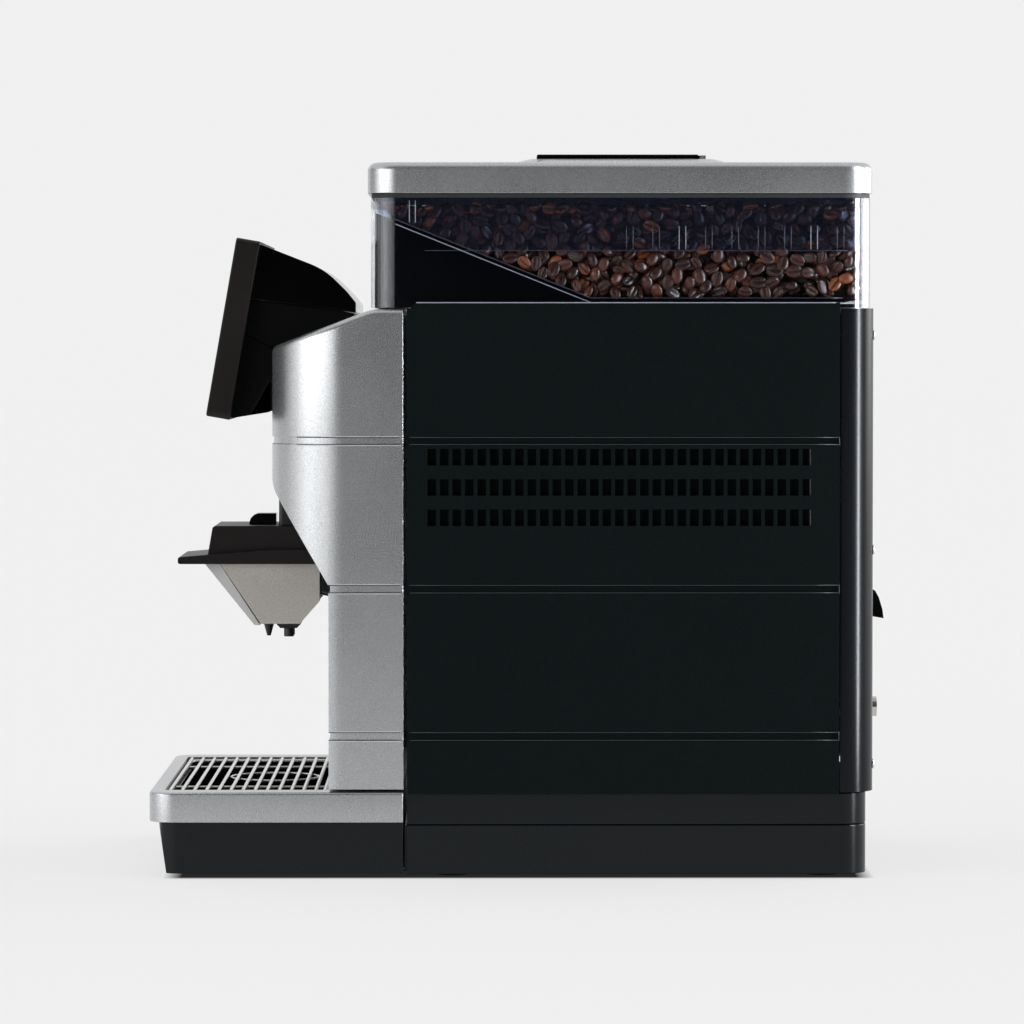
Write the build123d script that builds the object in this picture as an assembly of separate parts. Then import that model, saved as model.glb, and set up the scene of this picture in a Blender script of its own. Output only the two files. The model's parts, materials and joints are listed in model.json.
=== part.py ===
from build123d import *
import math
import os

# A table-top bean-to-cup coffee machine, in millimetres.
# +X is the machine's right as seen from the front, +Y points to its back, +Z up.
# The origin is on the surface it stands on, under the middle of its bounding box.

# ---- driving dimensions -------------------------------------------------------
HALF_W = 190.0  # half the cabinet's width
FRONT_Y = -303.0  # front of the drip tray
REAR_Y = 291.0  # back of the rear cover
REAR_REACH = 12.0  # how far the switch stands out of the rear cover

FOOT_H = 3.0
PLINTH_TOP = 43.5  # top of the base pan
BAND_TOP = 69.0  # top of the recessed band over it
BODY_TOP = 466.0  # top of the side panels
PLINTH_HALF_W = 184.0
PLINTH_REAR_Y = 285.5
PANEL_T = 5.0  # thickness of the side panels
PANEL_REAR_Y = 262.0

DOOR_BACK_Y = -94.4  # parting plane between the door and the cabinet
CABINET_Y = -91.5  # front edge of the right panel and of the base
HINGE_SIDE_Y = -85.5  # front edge of the left panel, set back for the hinges
DOOR_FRONT_Y = -203.5  # front of the door's upper part
DOOR_COLUMN_Y = -155.5  # front of the door's lower part
DOOR_BOTTOM = 73.0
DOOR_TOP = 465.3
DOOR_WALL = 4.0
DOOR_CORNER_R = 60.0
GROOVES_Z = [(354.9, 360.7), (233.8, 240.0), (113.2, 119.6)]
RECESS_HALF_W = 88.0
RECESS_TOP = 372.0

HOPPER_BOTTOM = 466.4
HOPPER_TOP = 556.0
HOPPER_HALF_W = 187.0
HOPPER_Y = (-121.0, 288.0)
HOPPER_R = 22.0
LID_BOTTOM = 559.8
LID_TOP = 585.0
LID_HALF_W = 189.5
LID_Y = (-123.5, 289.6)
THROAT = (0.0, 150.0)  # centre of the bean throat, over the grinder
HATCH_Y = (16.0, 157.0)
HATCH_HALF_W = 60.0
HATCH_TOP = 596.0
CROWN_TOP = 592.0

TRAY_TOP = 70.5
TRAY_BOTTOM = 3.4
TRAY_BACK_Y = -94.8
BEZEL_BOTTOM = 46.0
GRILLE_HALF_W = 161.0
GRILLE_Y = (-288.0, -160.0)
BAR_PITCH = 10.0
BAR_R = 1.5

DISPLAY_TILT = 9.85  # degrees the display leans back
DISPLAY_W, DISPLAY_H, DISPLAY_T = 300.0, 149.0, 19.6
DISPLAY_FOOT = (-257.4, 377.7)  # Y, Z of the display's lower front edge
GLASS_T = 2.0

SPOUT_SLOT = 39.5  # half width of the slot that fits round the column
COLUMN_HALF_W = 36.0
COLUMN_BOTTOM = 228.0
FIT = 0.05  # radial clearance of running fits

HINGE_AXIS = (-186.6, -91.0)  # X, Y of the door's hinge line
HINGE_Z = [130.0, 410.0]
KNUCKLE_R, PIN_R, KNUCKLE_L = 2.8, 1.4, 12.0

BAND_INSIDE = 180.0
DECK_Z = (60.0, 63.0)
FRAME_Y = (-84.0, -82.0)
TOP_DECK_Z = (462.4, 466.4)


# ---- helpers --------------------------------------------------------------------
def block(x, y, z):
    """A box between two planes on each axis."""
    size = [hi - lo for lo, hi in (x, y, z)]
    return Pos(*[(lo + hi) / 2 for lo, hi in (x, y, z)]) * Box(*size)


def mid_block(half_x, y, z):
    """A box that is symmetric about X = 0."""
    return block((-half_x, half_x), y, z)


def rod(at, radius, length, axis="Z"):
    """A cylinder that starts at a point and runs along +X, +Y or +Z."""
    turn = {"X": Rot(0, 90, 0), "Y": Rot(-90, 0, 0), "Z": Rot(0, 0, 0)}[axis]
    upright = (Align.CENTER, Align.CENTER, Align.MIN)
    return Pos(*at) * turn * Cylinder(radius, length, align=upright)


def outline(points, rounds=()):
    """A closed outline, with (point, radius) for each corner that is rounded."""
    face = Polygon(*points, align=None)
    for corner, radius in rounds:
        near = min(face.vertices(), key=lambda v: (Vector(v) - Vector(*corner)).length)
        face = fillet(near, radius)
    return face


def side_prism(points, x, rounds=()):
    """An outline of (Y, Z) points, extruded from x[0] to x[1]."""
    return extrude(Plane.YZ.offset(x[0]) * outline(points, rounds), x[1] - x[0], dir=(1, 0, 0))


def plan_prism(points, z, rounds=()):
    """An outline of (X, Y) points, extruded from z[0] to z[1]."""
    return extrude(Plane.XY.offset(z[0]) * outline(points, rounds), z[1] - z[0], dir=(0, 0, 1))


def rounded_block(half_x, y, z, radius):
    """A block with all four upright edges rounded."""
    shape = RectangleRounded(2 * half_x, y[1] - y[0], radius)
    return Pos(0, (y[0] + y[1]) / 2, z[0]) * extrude(shape, z[1] - z[0])


def back_rounded_block(half_x, y, z, radius):
    """A block whose two rear upright edges are rounded."""
    points = [(-half_x, y[0]), (half_x, y[0]), (half_x, y[1]), (-half_x, y[1])]
    return plan_prism(points, z, [(p, radius) for p in points[2:]])


def mirrored(shape):
    """The shape with its mirror image in X."""
    return shape + mirror(shape, Plane.YZ)


def hose(points, radius, bend):
    """A tube of round section along straight runs with rounded corners."""
    path = FilletPolyline(*points, radius=bend)
    return sweep(Plane(origin=path @ 0, z_dir=path % 0) * Circle(radius), path=path)


def save(shape, node):
    """Writes one node, as a compound when it holds several solids."""
    solids = shape.solids()
    whole = solids[0] if len(solids) == 1 else Compound(children=list(solids))
    export_step(whole, f"parts/{node}.step")


# ---- base and chassis -------------------------------------------------------------
def feet():
    discs = [Pos(x, y, FOOT_H / 2) * Cylinder(15, FOOT_H) for x in (-150, 150) for y in (-55, 250)]
    pads = [rod((x, -262, 0), 9, FOOT_H / 2) for x in (-120, 120)]
    return Compound(children=[chamfer(d.edges().group_by(Axis.Z)[0], 0.7) for d in discs] + pads)


def tray_runners():
    """Two steel strips under the base pan, on which the drip tray slides."""
    strips = [block((x - 10, x + 10), (-282, -30), (FOOT_H / 2, FOOT_H)) for x in (-120, 120)]
    return Compound(children=strips)


def base_pan():
    """Black plinth, with a lip that closes the gap behind the drip tray."""
    z = (FOOT_H, PLINTH_TOP)
    outer = back_rounded_block(PLINTH_HALF_W, (CABINET_Y, PLINTH_REAR_Y), z, 22)
    outer = chamfer(outer.edges().group_by(Axis.Z)[-1], 0.8)
    inner = back_rounded_block(
        PLINTH_HALF_W - 3, (CABINET_Y + 3, PLINTH_REAR_Y - 3), (FOOT_H + 3, PLINTH_TOP + 1), 19
    )
    lip = mid_block(PLINTH_HALF_W - 4, (CABINET_Y - 2.4, CABINET_Y + 1), (FOOT_H + 2, PLINTH_TOP - 1))
    return outer + lip - inner


def plinth_band():
    z = (PLINTH_TOP, BAND_TOP)
    outer = back_rounded_block(PLINTH_HALF_W, (CABINET_Y, PLINTH_REAR_Y), z, 22)
    outer = chamfer(outer.edges().group_by(Axis.Z)[0], 0.8)
    y = (CABINET_Y + 4, PLINTH_REAR_Y - 4)
    bore = back_rounded_block(BAND_INSIDE, y, (PLINTH_TOP - 1, BAND_TOP + 1), 18)
    ledge = back_rounded_block(BAND_INSIDE, y, (DECK_Z[0] - 4, DECK_Z[0]), 18)
    ledge -= mid_block(168, (CABINET_Y + 16, PLINTH_REAR_Y - 16), (DECK_Z[0] - 5, DECK_Z[0] + 1))
    return outer - bore + ledge


def chassis_deck():
    """Steel floor that carries the brewing and water parts."""
    deck = back_rounded_block(
        BAND_INSIDE - 0.3, (CABINET_Y + 4.3, PLINTH_REAR_Y - 4.3), DECK_Z, 17.7
    )
    slots = [block((x - 3, x + 3), (190, 240), (DECK_Z[0] - 1, DECK_Z[1] + 1)) for x in range(-60, 61, 20)]
    return deck - slots


def front_frame():
    """Steel frame behind the door, open in the middle for the brew group and grounds box."""
    plate = mid_block(HALF_W - PANEL_T, FRAME_Y, (DECK_Z[1], TOP_DECK_Z[0]))
    opening = mid_block(128, (FRAME_Y[0] - 1, FRAME_Y[1] + 1), (66, 446))
    band_z = (DECK_Z[1] - 1, BAND_TOP + 0.4)
    inside_band = mid_block(BAND_INSIDE - 0.4, (FRAME_Y[0] - 1, FRAME_Y[1] + 1), band_z)
    low_strip = mid_block(HALF_W, (FRAME_Y[0] - 1, FRAME_Y[1] + 1), (DECK_Z[1] - 1, BAND_TOP + 0.4))
    return plate - opening - (low_strip - inside_band)


def rear_posts():
    """Two folded steel posts that join the floor to the top deck."""
    inside = HALF_W - PANEL_T
    flange = block((inside - 2, inside), (240, 262), (DECK_Z[1] + 6.2, TOP_DECK_Z[0]))
    web = block((inside - 18, inside), (238, 240), (DECK_Z[1] + 6.2, TOP_DECK_Z[0]))
    foot = block((inside - 18, inside - 6), (238, 262), DECK_Z)
    foot = Pos(0, 0, DECK_Z[1] - DECK_Z[0]) * foot
    stem = block((inside - 18, inside - 6), (238, 240), (DECK_Z[1] + 3, DECK_Z[1] + 6.2))
    return mirrored(flange + web + stem + foot)


def top_deck():
    """Plate between the cabinet and the hopper, with the bean throat."""
    deck = back_rounded_block(HALF_W - PANEL_T, (FRAME_Y[0], REAR_Y - 3.5), TOP_DECK_Z, 22.5)
    throat = rod((*THROAT, TOP_DECK_Z[0] - 1), 31, TOP_DECK_Z[1] - TOP_DECK_Z[0] + 2)
    return deck - throat


# ---- outer panels ---------------------------------------------------------------
SLOT_COUNT, SLOT_PITCH, SLOT_W, SLOT_H = 31, 10.2, 7.0, 13.4
SLOT_ROWS_Z = (295.2, 319.9, 344.6)
FIRST_SLOT_Y = -71.0
LEDGE_TOP = 470.7


def side_panel(front_y):
    """Right-hand panel: grooved bands, three rows of air slots over a drip baffle, a ledge at the bin."""
    y = (front_y, PANEL_REAR_Y)
    z = (BAND_TOP, BODY_TOP)
    plate = block((HALF_W - PANEL_T, HALF_W), y, z)
    for low, high in GROOVES_Z:
        lips = [(HALF_W - 3, low), (HALF_W - 3, high), (HALF_W + 1, high + 1), (HALF_W + 1, low - 1)]
        groove = extrude(Plane.XZ.offset(-y[0]) * Polygon(*lips, align=None), y[1] - y[0], dir=(0, 1, 0))
        plate -= groove
    slots = [
        block(
            (HALF_W - PANEL_T - 1, HALF_W + 1),
            (FIRST_SLOT_Y + i * SLOT_PITCH - SLOT_W / 2, FIRST_SLOT_Y + i * SLOT_PITCH + SLOT_W / 2),
            (row - SLOT_H / 2, row + SLOT_H / 2),
        )
        for i in range(SLOT_COUNT)
        for row in SLOT_ROWS_Z
    ]
    baffle_z = (SLOT_ROWS_Z[0] - 12, SLOT_ROWS_Z[-1] + 11)
    inside = HALF_W - PANEL_T
    baffle = block((inside - 6, inside - 4.6), (-79, 237.4), baffle_z)
    baffle += block((inside - 6, inside + 0.5), (-79, 237.4), (baffle_z[1] - 1.4, baffle_z[1]))
    ledge = [
        (y[0] + 3, z[1] - 1),
        (y[0] + 3, z[1]),
        (y[0] + 7.5, LEDGE_TOP),
        (y[1], LEDGE_TOP),
        (y[1], z[1] - 1),
    ]
    return plate - slots + side_prism(ledge, (HALF_W - 2.6, HALF_W - 0.6)) + baffle


SWITCH_X, SWITCH_Z = 120.0, (204.0, 237.0)
INLET_X, INLET_Z = 62.0, (204.0, 237.0)
WATER_X, WATER_Z, WATER_R = 120.0, 136.0, 8.33
FAN_X, FAN_Z, FAN_HALF = -90.0, 330.0, 40.0
SCREW_SPOTS = [(x, z) for x in (-165, 165) for z in (92, 268, 444)]


def rear_cover():
    """Back of the cabinet, with rounded corners, fan louvres and cut-outs for the connections."""
    z = (BAND_TOP + 1.5, BODY_TOP)
    outer = back_rounded_block(HALF_W, (PANEL_REAR_Y + 0.7, REAR_Y), z, 27)
    inner = back_rounded_block(HALF_W - 3, (PANEL_REAR_Y, REAR_Y - 3), (z[0] - 1, z[1] + 1), 24)
    cover = outer - inner
    wall = (REAR_Y - 4, REAR_Y + 1)
    cover -= block((SWITCH_X - 12, SWITCH_X + 12), wall, SWITCH_Z)
    cover -= block((INLET_X - 14, INLET_X + 14), wall, INLET_Z)
    cover -= rod((WATER_X, wall[0], WATER_Z), 9.0, 5, "Y")
    for row in range(9):
        low = FAN_Z - 34 + row * 8
        cover -= block((FAN_X - 36, FAN_X + 36), wall, (low, low + 4))
        cover -= block((54, 126), wall, (low, low + 4))
    for x, height in SCREW_SPOTS:
        cover -= rod((x, wall[0], height), 2.1, 5, "Y")
    return cover


def rear_screws():
    """Pan-head screws that hold the rear cover."""
    screws = []
    for x, height in SCREW_SPOTS:
        head = rod((x, REAR_Y, height), 4, 1.0, "Y")
        head = fillet(head.edges().group_by(Axis.Y)[-1], 0.7)
        drive = block((x - 2.2, x + 2.2), (REAR_Y + 0.2, REAR_Y + 3), (height - 0.5, height + 0.5))
        cross = block((x - 0.5, x + 0.5), (REAR_Y + 0.2, REAR_Y + 3), (height - 2.2, height + 2.2))
        screws.append(head + rod((x, REAR_Y - 9, height), 2.0, 9, "Y") - drive - cross)
    return Compound(children=screws)


# ---- rear connections -----------------------------------------------------------
def switch_frame():
    bezel = block((SWITCH_X - 14, SWITCH_X + 14), (REAR_Y, REAR_Y + 2), (SWITCH_Z[0] - 3, SWITCH_Z[1] + 3))
    bezel = chamfer(bezel.edges().group_by(Axis.Y)[-1], 0.8)
    well_z = (SWITCH_Z[0] + 0.2, SWITCH_Z[1] - 0.2)
    well = block((SWITCH_X - 11.8, SWITCH_X + 11.8), (REAR_Y - 20, REAR_Y), well_z)
    bore_z = (SWITCH_Z[0] + 2, SWITCH_Z[1] - 2)
    bore = block((SWITCH_X - 9.5, SWITCH_X + 9.5), (REAR_Y - 17, REAR_Y + 3), bore_z)
    pin = rod((SWITCH_X - 10.5, REAR_Y - 4, 220.5), 1.5, 21, "X")
    return bezel + well - bore + pin


def switch_rocker():
    """Mains rocker, pressed in at the top and standing out at the bottom."""
    points = [
        (REAR_Y - 8, 213),
        (REAR_Y + REAR_REACH, 209.6),
        (REAR_Y + REAR_REACH - 1.0, 217),
        (REAR_Y + 8.0, 227),
        (REAR_Y + 4.0, 234),
        (REAR_Y - 6, 231),
    ]
    rounds = [(points[2], 8), (points[3], 12), (points[4], 3)]
    body = side_prism(points, (SWITCH_X - 8.6, SWITCH_X + 8.6), rounds)
    return body - rod((SWITCH_X - 10, REAR_Y - 4, 220.5), 1.5 + FIT, 20, "X")


def power_inlet():
    """Three-pin appliance inlet, flush with the rear cover."""
    x = (INLET_X - 14, INLET_X + 14)
    flange = block((x[0] - 3, x[1] + 3), (REAR_Y, REAR_Y + 1.6), (INLET_Z[0] - 3, INLET_Z[1] + 3))
    body = block((x[0] + 0.2, x[1] - 0.2), (REAR_Y - 24, REAR_Y), (INLET_Z[0] + 0.2, INLET_Z[1] - 0.2))
    corners = [
        (INLET_X - 11, 211), (INLET_X - 6, 206.5), (INLET_X + 6, 206.5),
        (INLET_X + 11, 211), (INLET_X + 11, 231), (INLET_X - 11, 231),
    ]
    face = Plane.XZ.offset(-(REAR_Y + 2)) * Polygon(*corners, align=None)
    socket = extrude(face, 20, dir=(0, -1, 0))
    blades = [
        block((INLET_X + dx - 1, INLET_X + dx + 1), (REAR_Y - 20, REAR_Y - 4), (height - 2, height + 2))
        for dx, height in ((-6, 224), (6, 224), (0, 215))
    ]
    return flange + body - socket + blades


def water_inlet():
    """Threaded union for the mains water hose."""
    nut = Pos(WATER_X, REAR_Y + 2, WATER_Z) * Rot(90, 0, 0) * extrude(RegularPolygon(11, 6), 2)
    barrel = rod((WATER_X, REAR_Y - 30, WATER_Z), WATER_R, 30 + 6.5, "Y")
    return nut + barrel - rod((WATER_X, REAR_Y - 31, WATER_Z), 5, 45, "Y")


# ---- hopper -----------------------------------------------------------------------
SLOPE_TOP = (-117.7, 544.4)  # Y, Z of the bin floor where it meets the front wall
SLOPE_FOOT = (59.0, 473.4)
FLOOR_T = 3.6


def hopper_shell():
    """Clear outer wall of the bin, open at the top and the bottom."""
    z = (HOPPER_BOTTOM, HOPPER_TOP)
    outer = rounded_block(HOPPER_HALF_W, HOPPER_Y, z, HOPPER_R)
    inner = rounded_block(
        HOPPER_HALF_W - 3, (HOPPER_Y[0] + 3, HOPPER_Y[1] - 3), (z[0] - 1, z[1] + 1), HOPPER_R - 3
    )
    return outer - inner


def bin_room(inset, z):
    """The space inside the clear bin, with an inset from its walls."""
    half = HOPPER_HALF_W - 3 - inset
    y = (HOPPER_Y[0] + 3 + inset, HOPPER_Y[1] - 3 - inset)
    return rounded_block(half, y, z, HOPPER_R - 3 - inset)


def hopper_floor():
    """Sloping floor that leads the beans to the throat, with a plate and a skirt under it."""
    rear = HOPPER_Y[1]
    drop = FLOOR_T * 1.09
    reach = 12.0
    rise = reach * (SLOPE_TOP[1] - SLOPE_FOOT[1]) / (SLOPE_FOOT[0] - SLOPE_TOP[0])
    points = [
        (SLOPE_TOP[0] - reach, SLOPE_TOP[1] + rise),
        SLOPE_FOOT,
        (rear - 28, SLOPE_FOOT[1]),
        (rear, SLOPE_FOOT[1] + 6),
        (rear, SLOPE_FOOT[1] + 6 - drop),
        (rear - 28, SLOPE_FOOT[1] - drop),
        (SLOPE_FOOT[0] - 1, SLOPE_FOOT[1] - drop),
        (SLOPE_TOP[0] - reach, SLOPE_TOP[1] + rise - drop),
    ]
    floor = side_prism(points, (-HOPPER_HALF_W, HOPPER_HALF_W)) & bin_room(0.3, (HOPPER_BOTTOM, HOPPER_TOP))
    spigot = rod((*THROAT, TOP_DECK_Z[0]), 30.5, SLOPE_FOOT[1] - TOP_DECK_Z[0] - 1)
    low = HOPPER_BOTTOM
    under_slope = [
        (SLOPE_FOOT[0], low),
        (SLOPE_FOOT[0], SLOPE_FOOT[1] - 1),
        (SLOPE_TOP[0] - reach, SLOPE_TOP[1] + rise - 1),
        (SLOPE_TOP[0] - reach, low),
    ]
    ring = bin_room(0.3, (low, HOPPER_TOP)) - bin_room(2.3, (low - 1, HOPPER_TOP + 1))
    skirt = ring & side_prism(under_slope, (-HOPPER_HALF_W, HOPPER_HALF_W))
    plate = bin_room(0.3, (low, low + 3.2)) - mid_block(60, (-90, 20), (low - 1, low + 4))
    return floor + skirt + plate + spigot - rod((*THROAT, TOP_DECK_Z[0] - 1), 28, 20)


COLLAR_BOTTOM = 513.0
RIB_Y = [90.5 + 21.5 * i for i in range(9)]


def hopper_collar():
    """Smoked ring round the top of the bin, with stiffening ribs along its sides."""
    z = (COLLAR_BOTTOM, HOPPER_TOP)
    ring = bin_room(2.6, z) - bin_room(4.4, (z[0] - 1, z[1] + 1))
    rim = bin_room(0.3, (z[1] - 3, z[1])) - bin_room(4.4, (z[1] - 4, z[1] + 1))
    side = HOPPER_HALF_W - 3 - 2.6
    ribs = [block((side - 0.2, side + 2.2), (y - 2.7, y + 2.7), (z[0], z[0] + 20)) for y in RIB_Y + [-86]]
    front_cut = side_prism(
        [(-130, SLOPE_TOP[1] + 6), (60, COLLAR_BOTTOM - 40), (-130, COLLAR_BOTTOM - 40)], (-200, 200)
    )
    return ring + rim + mirrored(Part() + ribs) - front_cut


def bean_fill():
    """The load of beans, as one plain solid."""
    gap = 1.2
    top = HOPPER_TOP - 5
    rear = HOPPER_Y[1] - 9
    points = [
        (SLOPE_TOP[0] + 8, top),
        (SLOPE_TOP[0] + 8, SLOPE_TOP[1] - 1.5),
        (SLOPE_FOOT[0], SLOPE_FOOT[1] + gap),
        (rear - 20, SLOPE_FOOT[1] + gap),
        (rear, SLOPE_FOOT[1] + gap + 4.5),
        (rear, top),
    ]
    return side_prism(points, (-177.5, 177.5)) & bin_room(5.4, (HOPPER_BOTTOM, HOPPER_TOP))


def lid_seal():
    z = (HOPPER_TOP, LID_BOTTOM - 0.4)
    y = (HOPPER_Y[0] + 0.5, HOPPER_Y[1] - 0.5)
    ring = rounded_block(HOPPER_HALF_W - 0.5, y, z, HOPPER_R - 0.5)
    bore_y = (y[0] + 4.5, y[1] - 4.5)
    return ring - rounded_block(HOPPER_HALF_W - 5, bore_y, (z[0] - 1, z[1] + 1), HOPPER_R - 5)


# ---- lid ----------------------------------------------------------------------------
def crown(half_w, y, top, flare):
    """A low swelling on the lid, wider at its foot than at its top."""
    foot = Plane.XY.offset(LID_TOP - 4) * Pos(0, sum(y) / 2) * RectangleRounded(
        2 * (half_w + flare), y[1] - y[0] + 2 * flare, 30
    )
    head = Plane.XY.offset(top) * Pos(0, sum(y) / 2) * RectangleRounded(2 * half_w, y[1] - y[0], 12)
    return loft([foot, head])


def lid_shell():
    z = (LID_BOTTOM, LID_TOP)
    outer = rounded_block(LID_HALF_W, LID_Y, z, 24)
    outer = fillet(outer.edges().group_by(Axis.Z)[-1], 7)
    y = (LID_Y[0] + 3, LID_Y[1] - 3)
    inner = rounded_block(LID_HALF_W - 3, y, (z[0] - 1, z[1] - 3), 21)
    pad_y = (HATCH_Y[0] - 6, HATCH_Y[1] + 8)
    shell = outer - inner + crown(HATCH_HALF_W + 6, pad_y, CROWN_TOP, 42)
    mouth = mid_block(HATCH_HALF_W - 6, (HATCH_Y[0] + 6, HATCH_Y[1] - 10), (LID_BOTTOM, HATCH_TOP + 5))
    seat = mid_block(HATCH_HALF_W + 0.5, (HATCH_Y[0] - 0.5, HATCH_Y[1] + 3.5), (CROWN_TOP - 2, HATCH_TOP + 5))
    return shell - mouth - seat


HATCH_AXIS = (HATCH_Y[1] - 1.0, HATCH_TOP - 3.0)  # Y, Z of the hatch's hinge line


def filler_hatch():
    """Flap over the filling mouth, with a finger scoop at its front."""
    z = (CROWN_TOP - 1.8, HATCH_TOP)
    plate = mid_block(HATCH_HALF_W, (HATCH_Y[0], HATCH_Y[1] - 5), z)
    plate = fillet(plate.edges().group_by(Axis.Z)[-1], 1.6)
    knuckles = [rod((x, *HATCH_AXIS), 2.6, 20, "X") for x in (-42, 22)]
    webs = [block((x, x + 20), (HATCH_Y[1] - 6, HATCH_AXIS[0]), (z[0] + 0.6, z[1] - 0.4)) for x in (-42, 22)]
    scoop = Pos(0, HATCH_Y[0] - 3, HATCH_TOP + 9) * Rot(0, 90, 0) * Cylinder(12, 60)
    hinge_bore = rod((-60, *HATCH_AXIS), 1.25 + FIT, 120, "X")
    return plate + knuckles + webs - scoop - hinge_bore


def hatch_pin():
    """Hinge pin of the flap, with the two ears that hold it."""
    pin = rod((-48, *HATCH_AXIS), 1.25, 96, "X")
    ears = [
        block((x, x + 4), (HATCH_AXIS[0] - 2.5, HATCH_AXIS[0] + 2.5), (CROWN_TOP - 2, HATCH_TOP - 0.4))
        for x in (-48, -20, 16, 44)
    ]
    return pin + ears


# ---- door -----------------------------------------------------------------------------
def door_solid(inset, back, brow_round=4):
    """The door's outer form, shrunk by an inset and running back to a plane."""
    half = HALF_W - inset
    front = DOOR_FRONT_Y + inset
    column = DOOR_COLUMN_Y + inset
    low, high = DOOR_BOTTOM + inset, DOOR_TOP - inset
    corners = [(-half, front), (half, front)]
    plan = plan_prism(
        [(-half, back), *corners, (half, back)],
        (low, high),
        [(c, DOOR_CORNER_R - inset) for c in corners],
    )
    shoulder = (-119.5, high)
    brow = (front, 434.0 - inset * 0.82)
    chin = (front, 320.5 + inset * 0.26)
    waist = (column, 239.5 + inset * 0.26)
    profile = [(back, low), (back, high), shoulder, brow, chin, waist, (column, low)]
    rounds = [(shoulder, 30), (chin, 30), (waist, 6)]
    if brow_round:
        rounds.append((brow, brow_round))
    return plan & side_prism(profile, (-half, half), rounds)


def soft_door_solid(radius):
    """The door's full form with its top edge rounded from hinge side to free side."""
    sharp = door_solid(0, DOOR_BACK_Y, brow_round=0)
    top_edges = [
        edge
        for edge in sharp.edges().filter_by(lambda e: e.center().Z > 430 and e.center().Y < DOOR_BACK_Y - 1)
        if abs(edge.center().X) > 1 or edge.center().Y < DOOR_FRONT_Y + 1
    ]
    return fillet(top_edges, radius)


def door_shell():
    """Silver door moulding: two pillars, a sloping top and a recess for the spout."""
    outer = soft_door_solid(6)
    groove_depth = 1.4
    core = door_solid(groove_depth, DOOR_BACK_Y + 1)
    edges = outer - core
    shell = outer - door_solid(DOOR_WALL, DOOR_BACK_Y + 1)
    for low, high in GROOVES_Z:
        shell -= edges & mid_block(HALF_W + 1, (DOOR_FRONT_Y - 1, DOOR_BACK_Y + 1), (low, high))
    sill = DOOR_BOTTOM + DOOR_WALL
    cheeks = mid_block(RECESS_HALF_W + 3, (DOOR_FRONT_Y, DOOR_COLUMN_Y + 4), (sill, RECESS_TOP + 3)) & outer
    shell += cheeks
    shell -= mid_block(RECESS_HALF_W, (DOOR_FRONT_Y - 1, DOOR_BACK_Y - 8), (sill, RECESS_TOP))
    return shell


def front_panel():
    """Black centre panel with the hollow column that the spout rides on."""
    sill = DOOR_BOTTOM + DOOR_WALL
    plate = mid_block(RECESS_HALF_W - 0.4, (DOOR_COLUMN_Y + 1, DOOR_COLUMN_Y + 4), (sill, RECESS_TOP - 0.4))
    top = RECESS_TOP - 0.4
    points = [
        (DOOR_COLUMN_Y + 1, COLUMN_BOTTOM - 6),
        (DOOR_FRONT_Y + 1.5, COLUMN_BOTTOM + 4),
        (DOOR_FRONT_Y + 1.5, top),
        (DOOR_COLUMN_Y + 1, top),
    ]
    column = side_prism(points, (-COLUMN_HALF_W, COLUMN_HALF_W), [(points[1], 4)])
    column = fillet(column.edges().filter_by(Axis.Z).group_by(Axis.Y)[0], 3)
    hollow = mid_block(
        COLUMN_HALF_W - 3, (DOOR_FRONT_Y + 4.5, DOOR_COLUMN_Y + 5), (COLUMN_BOTTOM + 10, top - 3)
    )
    return plate + column - hollow


def spout_rack():
    """Toothed strips on the column's sides that the spout clicks along."""
    x = (COLUMN_HALF_W, COLUMN_HALF_W + 2)
    y = (DOOR_COLUMN_Y - 8, DOOR_COLUMN_Y - 3)
    strip = block(x, y, (COLUMN_BOTTOM, COLUMN_BOTTOM + 84))
    feet = [COLUMN_BOTTOM + 3 * i for i in range(28)]
    teeth = [block((x[0] + 1, x[1] + 1), (y[0] - 1, y[0] + 2), (z, z + 1.5)) for z in feet]
    return mirrored(strip - teeth)


# The display's own plane: its origin at the lower front edge, local X along +X and local Y up its face.
DISPLAY = Plane(
    origin=(0, *DISPLAY_FOOT),
    x_dir=(1, 0, 0),
    z_dir=(0, -math.cos(math.radians(DISPLAY_TILT)), math.sin(math.radians(DISPLAY_TILT))),
)


def on_display(width, low, high, depth, thick, radius):
    """A rounded plate in the display's plane, from depth behind its face, growing backwards."""
    face = DISPLAY.offset(-depth) * Pos(0, (low + high) / 2) * RectangleRounded(width, high - low, radius)
    return extrude(face, thick, dir=tuple(DISPLAY.z_dir * -1))


def display_frame():
    frame = on_display(DISPLAY_W, 0, DISPLAY_H, 0, DISPLAY_T, 5)
    front = frame.faces().sort_by(Axis(DISPLAY.origin, DISPLAY.z_dir))[-1]
    frame = chamfer(front.edges(), 0.8)
    return frame - on_display(DISPLAY_W - 6, 3, DISPLAY_H - 3, -1, GLASS_T + 1, 3)


def display_glass():
    glass = on_display(DISPLAY_W - 6.6, 3.3, DISPLAY_H - 3.3, 0.2, GLASS_T - 0.2, 2.8)
    return glass


def behind_display(height, gap=0.0):
    """Y, Z of a point on the display's back, at a height above its lower edge."""
    lean = math.radians(DISPLAY_TILT)
    y, z = DISPLAY_FOOT
    depth = DISPLAY_T + gap
    return (
        y + height * math.sin(lean) + depth * math.cos(lean),
        z + height * math.cos(lean) - depth * math.sin(lean),
    )


BACK_WALL = 3.0


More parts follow.
